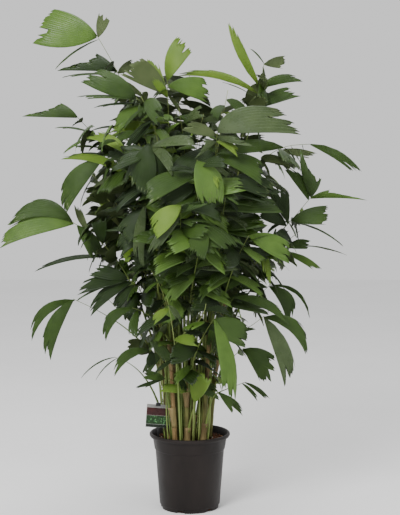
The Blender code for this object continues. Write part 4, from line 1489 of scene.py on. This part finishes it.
def leaflet_piece(name, blades, finishes):
    """All the blades of one tone as one mesh."""
    points, faces, places, sides = [], [], [], []
    for blade_points, blade_faces, blade_places, blade_sides in blades:
        first = len(points)
        points += blade_points
        places += blade_places
        faces += [tuple(first + k for k in face) for face in blade_faces]
        sides += blade_sides
    piece = object_from(name, points, faces, finishes, sides)
    layer = piece.data.uv_layers.new(name="Blade")
    corners = np.empty(len(piece.data.loops), dtype=np.int32)
    piece.data.loops.foreach_get("vertex_index", corners)
    layer.data.foreach_set("uv", np.array(places, dtype=np.float32)[corners].ravel())
    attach(piece, "root")
    return piece


def slim_radii(steps):
    return [SLIM_FOOT + (SLIM_TIP - SLIM_FOOT) * k / steps for k in range(steps + 1)]


def slim_stalk(chance, from_mix):
    """A thin young stalk from the mix or from a cane into the crown, if there is room for it."""
    for _ in range(SLIM_TRIES[from_mix]):
        cane = chance.choice(canes)
        turn = math.atan2(cane.foot.y, cane.foot.x) + chance.uniform(-SLIM_TURN, SLIM_TURN)
        away = Vector((math.cos(turn), math.sin(turn), 0))
        height = chance.uniform(SLIM_LOWEST, cane.height - SLIM_BELOW_TOP)
        start = cane_at(cane, height) + away * (cane_radius(cane, height) + SLIM_FOOT)
        if from_mix:
            start = CLUMP_CENTRE + away * CLUMP_RADIUS * SLIM_SPREAD * math.sqrt(chance.random())
            start.z = SOIL_TOP - MM
        level = chance.uniform(*SLIM_LEVELS)
        reach = crown_radius(level) * chance.uniform(*SLIM_REACH)
        tip = Vector((away.x * reach, away.y * reach * CROWN_DEPTH * SLIM_DEPTH, level))
        rise = math.radians(chance.uniform(*SLIM_RISE))
        leave = (UP + away * SLIM_LEANS[from_mix]).normalized()
        points = curve(start, leave, tip, away * math.cos(rise) + UP * math.sin(rise), SLIM_STEPS)
        radii = slim_radii(SLIM_STEPS)
        rings = [(away * radius, Vector((-away.y, away.x, 0)) * radius) for radius in radii]
        if space.free(None, tube(points, rings, 3)):
            return points, away
    return None


def slim_surface(route, away):
    points = finer(route, 2)
    return tube_along(points, away, slim_radii(len(points) - 1), SLIM_ROUND)


leaves = place_leaflets(growing, routes, space)
fine_chance = random.Random(FINE_SEED)
slim_fronds, slim_shapes = [], []
for k in range(SLIM_STALKS):
    found = slim_stalk(fine_chance, k < SLIM_FROM_MIX)
    if found:
        frond = Frond(f"slim_{k}", 0, found[0][-1], 0, SLIM_LEAFLETS, [])
        slim_fronds.append(frond)
        routes[frond.name] = found
        leaves[frond.name] = []
        slim_shapes.append(slim_surface(*found))
        space.add(frond.name, slim_shapes[-1])
young_stalk = finish(
    "young stalk", (0.130, 0.190, 0.045), (0.260, 0.310, 0.100), depth=0.1 * MM, **STALK_PATTERN
)
slim_stalks = object_from("slim_stalks", *join_shapes(slim_shapes), [young_stalk])
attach(slim_stalks, "root")
sprays = {tone: [] for tone in LEAF_TONES}
for frond in growing + slim_fronds:
    own = Space()
    for leaf in leaves[frond.name]:
        own.add("leaflet", leaf_shape(beyond_foot(leaf)))
    named = NAMED_TONES.get(frond.name, "")
    # Each frond's filling leans to one tone: dark with painted shade, mid, or light with painted light.
    spray = fine_chance.choice("dml")
    count = FINE_PER_FROND if frond.filling else 0
    route = routes[frond.name][0]
    held = leaves[frond.name] + filling_leaflets(frond, route, count, FINE_RULE, space, own, fine_chance)
    for k, leaf in enumerate(held):
        tone = named[k] if k < len(named) else fine_chance.choice(SPRAY_TONES + spray * 3)
        sprays[tone].append(blade(leaf, fine_chance))
underside = leaf_finish(*UNDERSIDE)
for tone, row in LEAF_TONES.items():
    if sprays[tone]:
        leaflet_piece(row[0].replace(" ", "_"), sprays[tone], [leaf_finish(*row), underside])

# The studio: a pale floor that runs back under a pale sky, one broad soft light from the upper
# left in front and a weak one from the right, and the camera where the photo was taken from.
FLOOR_SIZE = 14
SKY_STRENGTH = 0.9
LIGHTS = [
    ("key_light", 1.5, 150, (-1.4, -2.8, 3.0), (0, 0, 0.9)),
    ("fill_light", 2.0, 18, (2.4, -2.2, 1.6), (0, 0, 0.8)),
    ("top_light", 1.6, 34, (0.2, 0.6, 3.6), (0, 0, 0.9)),
]
CAMERA_DISTANCE = 3.6
CAMERA_HEIGHT = 1.03
CAMERA_ASIDE = 0.0305
CAMERA_DOWN = math.radians(4.5)
CAMERA_LENS = 85.6
bpy.ops.object.select_all(action="DESELECT")
bpy.ops.mesh.primitive_plane_add(size=FLOOR_SIZE)
floor = bpy.context.active_object
floor.name = "studio_floor"
pale_floor = finish(
    "floor", (0.86, 0.86, 0.86), (0.89, 0.89, 0.89), patches=2, roughness=0.8, grain=60, depth=0.1 * MM
)
floor.data.materials.append(pale_floor)


def soft_light(name, size, power, place, aim):
    """A round soft light of a size in metres and a power in watts, turned to its aim."""
    lamp = bpy.data.lights.new(name, "AREA")
    lamp.shape = "DISK"
    lamp.size = size
    lamp.energy = power
    light = bpy.data.objects.new(name, lamp)
    light.location = place
    light.rotation_euler = (Vector(aim) - Vector(place)).to_track_quat("-Z", "Y").to_euler()
    bpy.context.scene.collection.objects.link(light)


for row in LIGHTS:
    soft_light(*row)
world = bpy.context.scene.world or bpy.data.worlds.new("studio")
bpy.context.scene.world = world
world.use_nodes = True
sky = world.node_tree.nodes["Background"]
sky.inputs["Color"].default_value = (1, 1, 1, 1)
sky.inputs["Strength"].default_value = SKY_STRENGTH

camera = bpy.data.objects.new("camera", bpy.data.cameras.new("camera"))
camera.data.sensor_width = 36
camera.data.lens = CAMERA_LENS
camera.location = (CAMERA_ASIDE, -CAMERA_DISTANCE, CAMERA_HEIGHT)
camera.rotation_euler = (math.pi / 2 - CAMERA_DOWN, 0, 0)
bpy.context.scene.collection.objects.link(camera)
bpy.context.scene.camera = camera
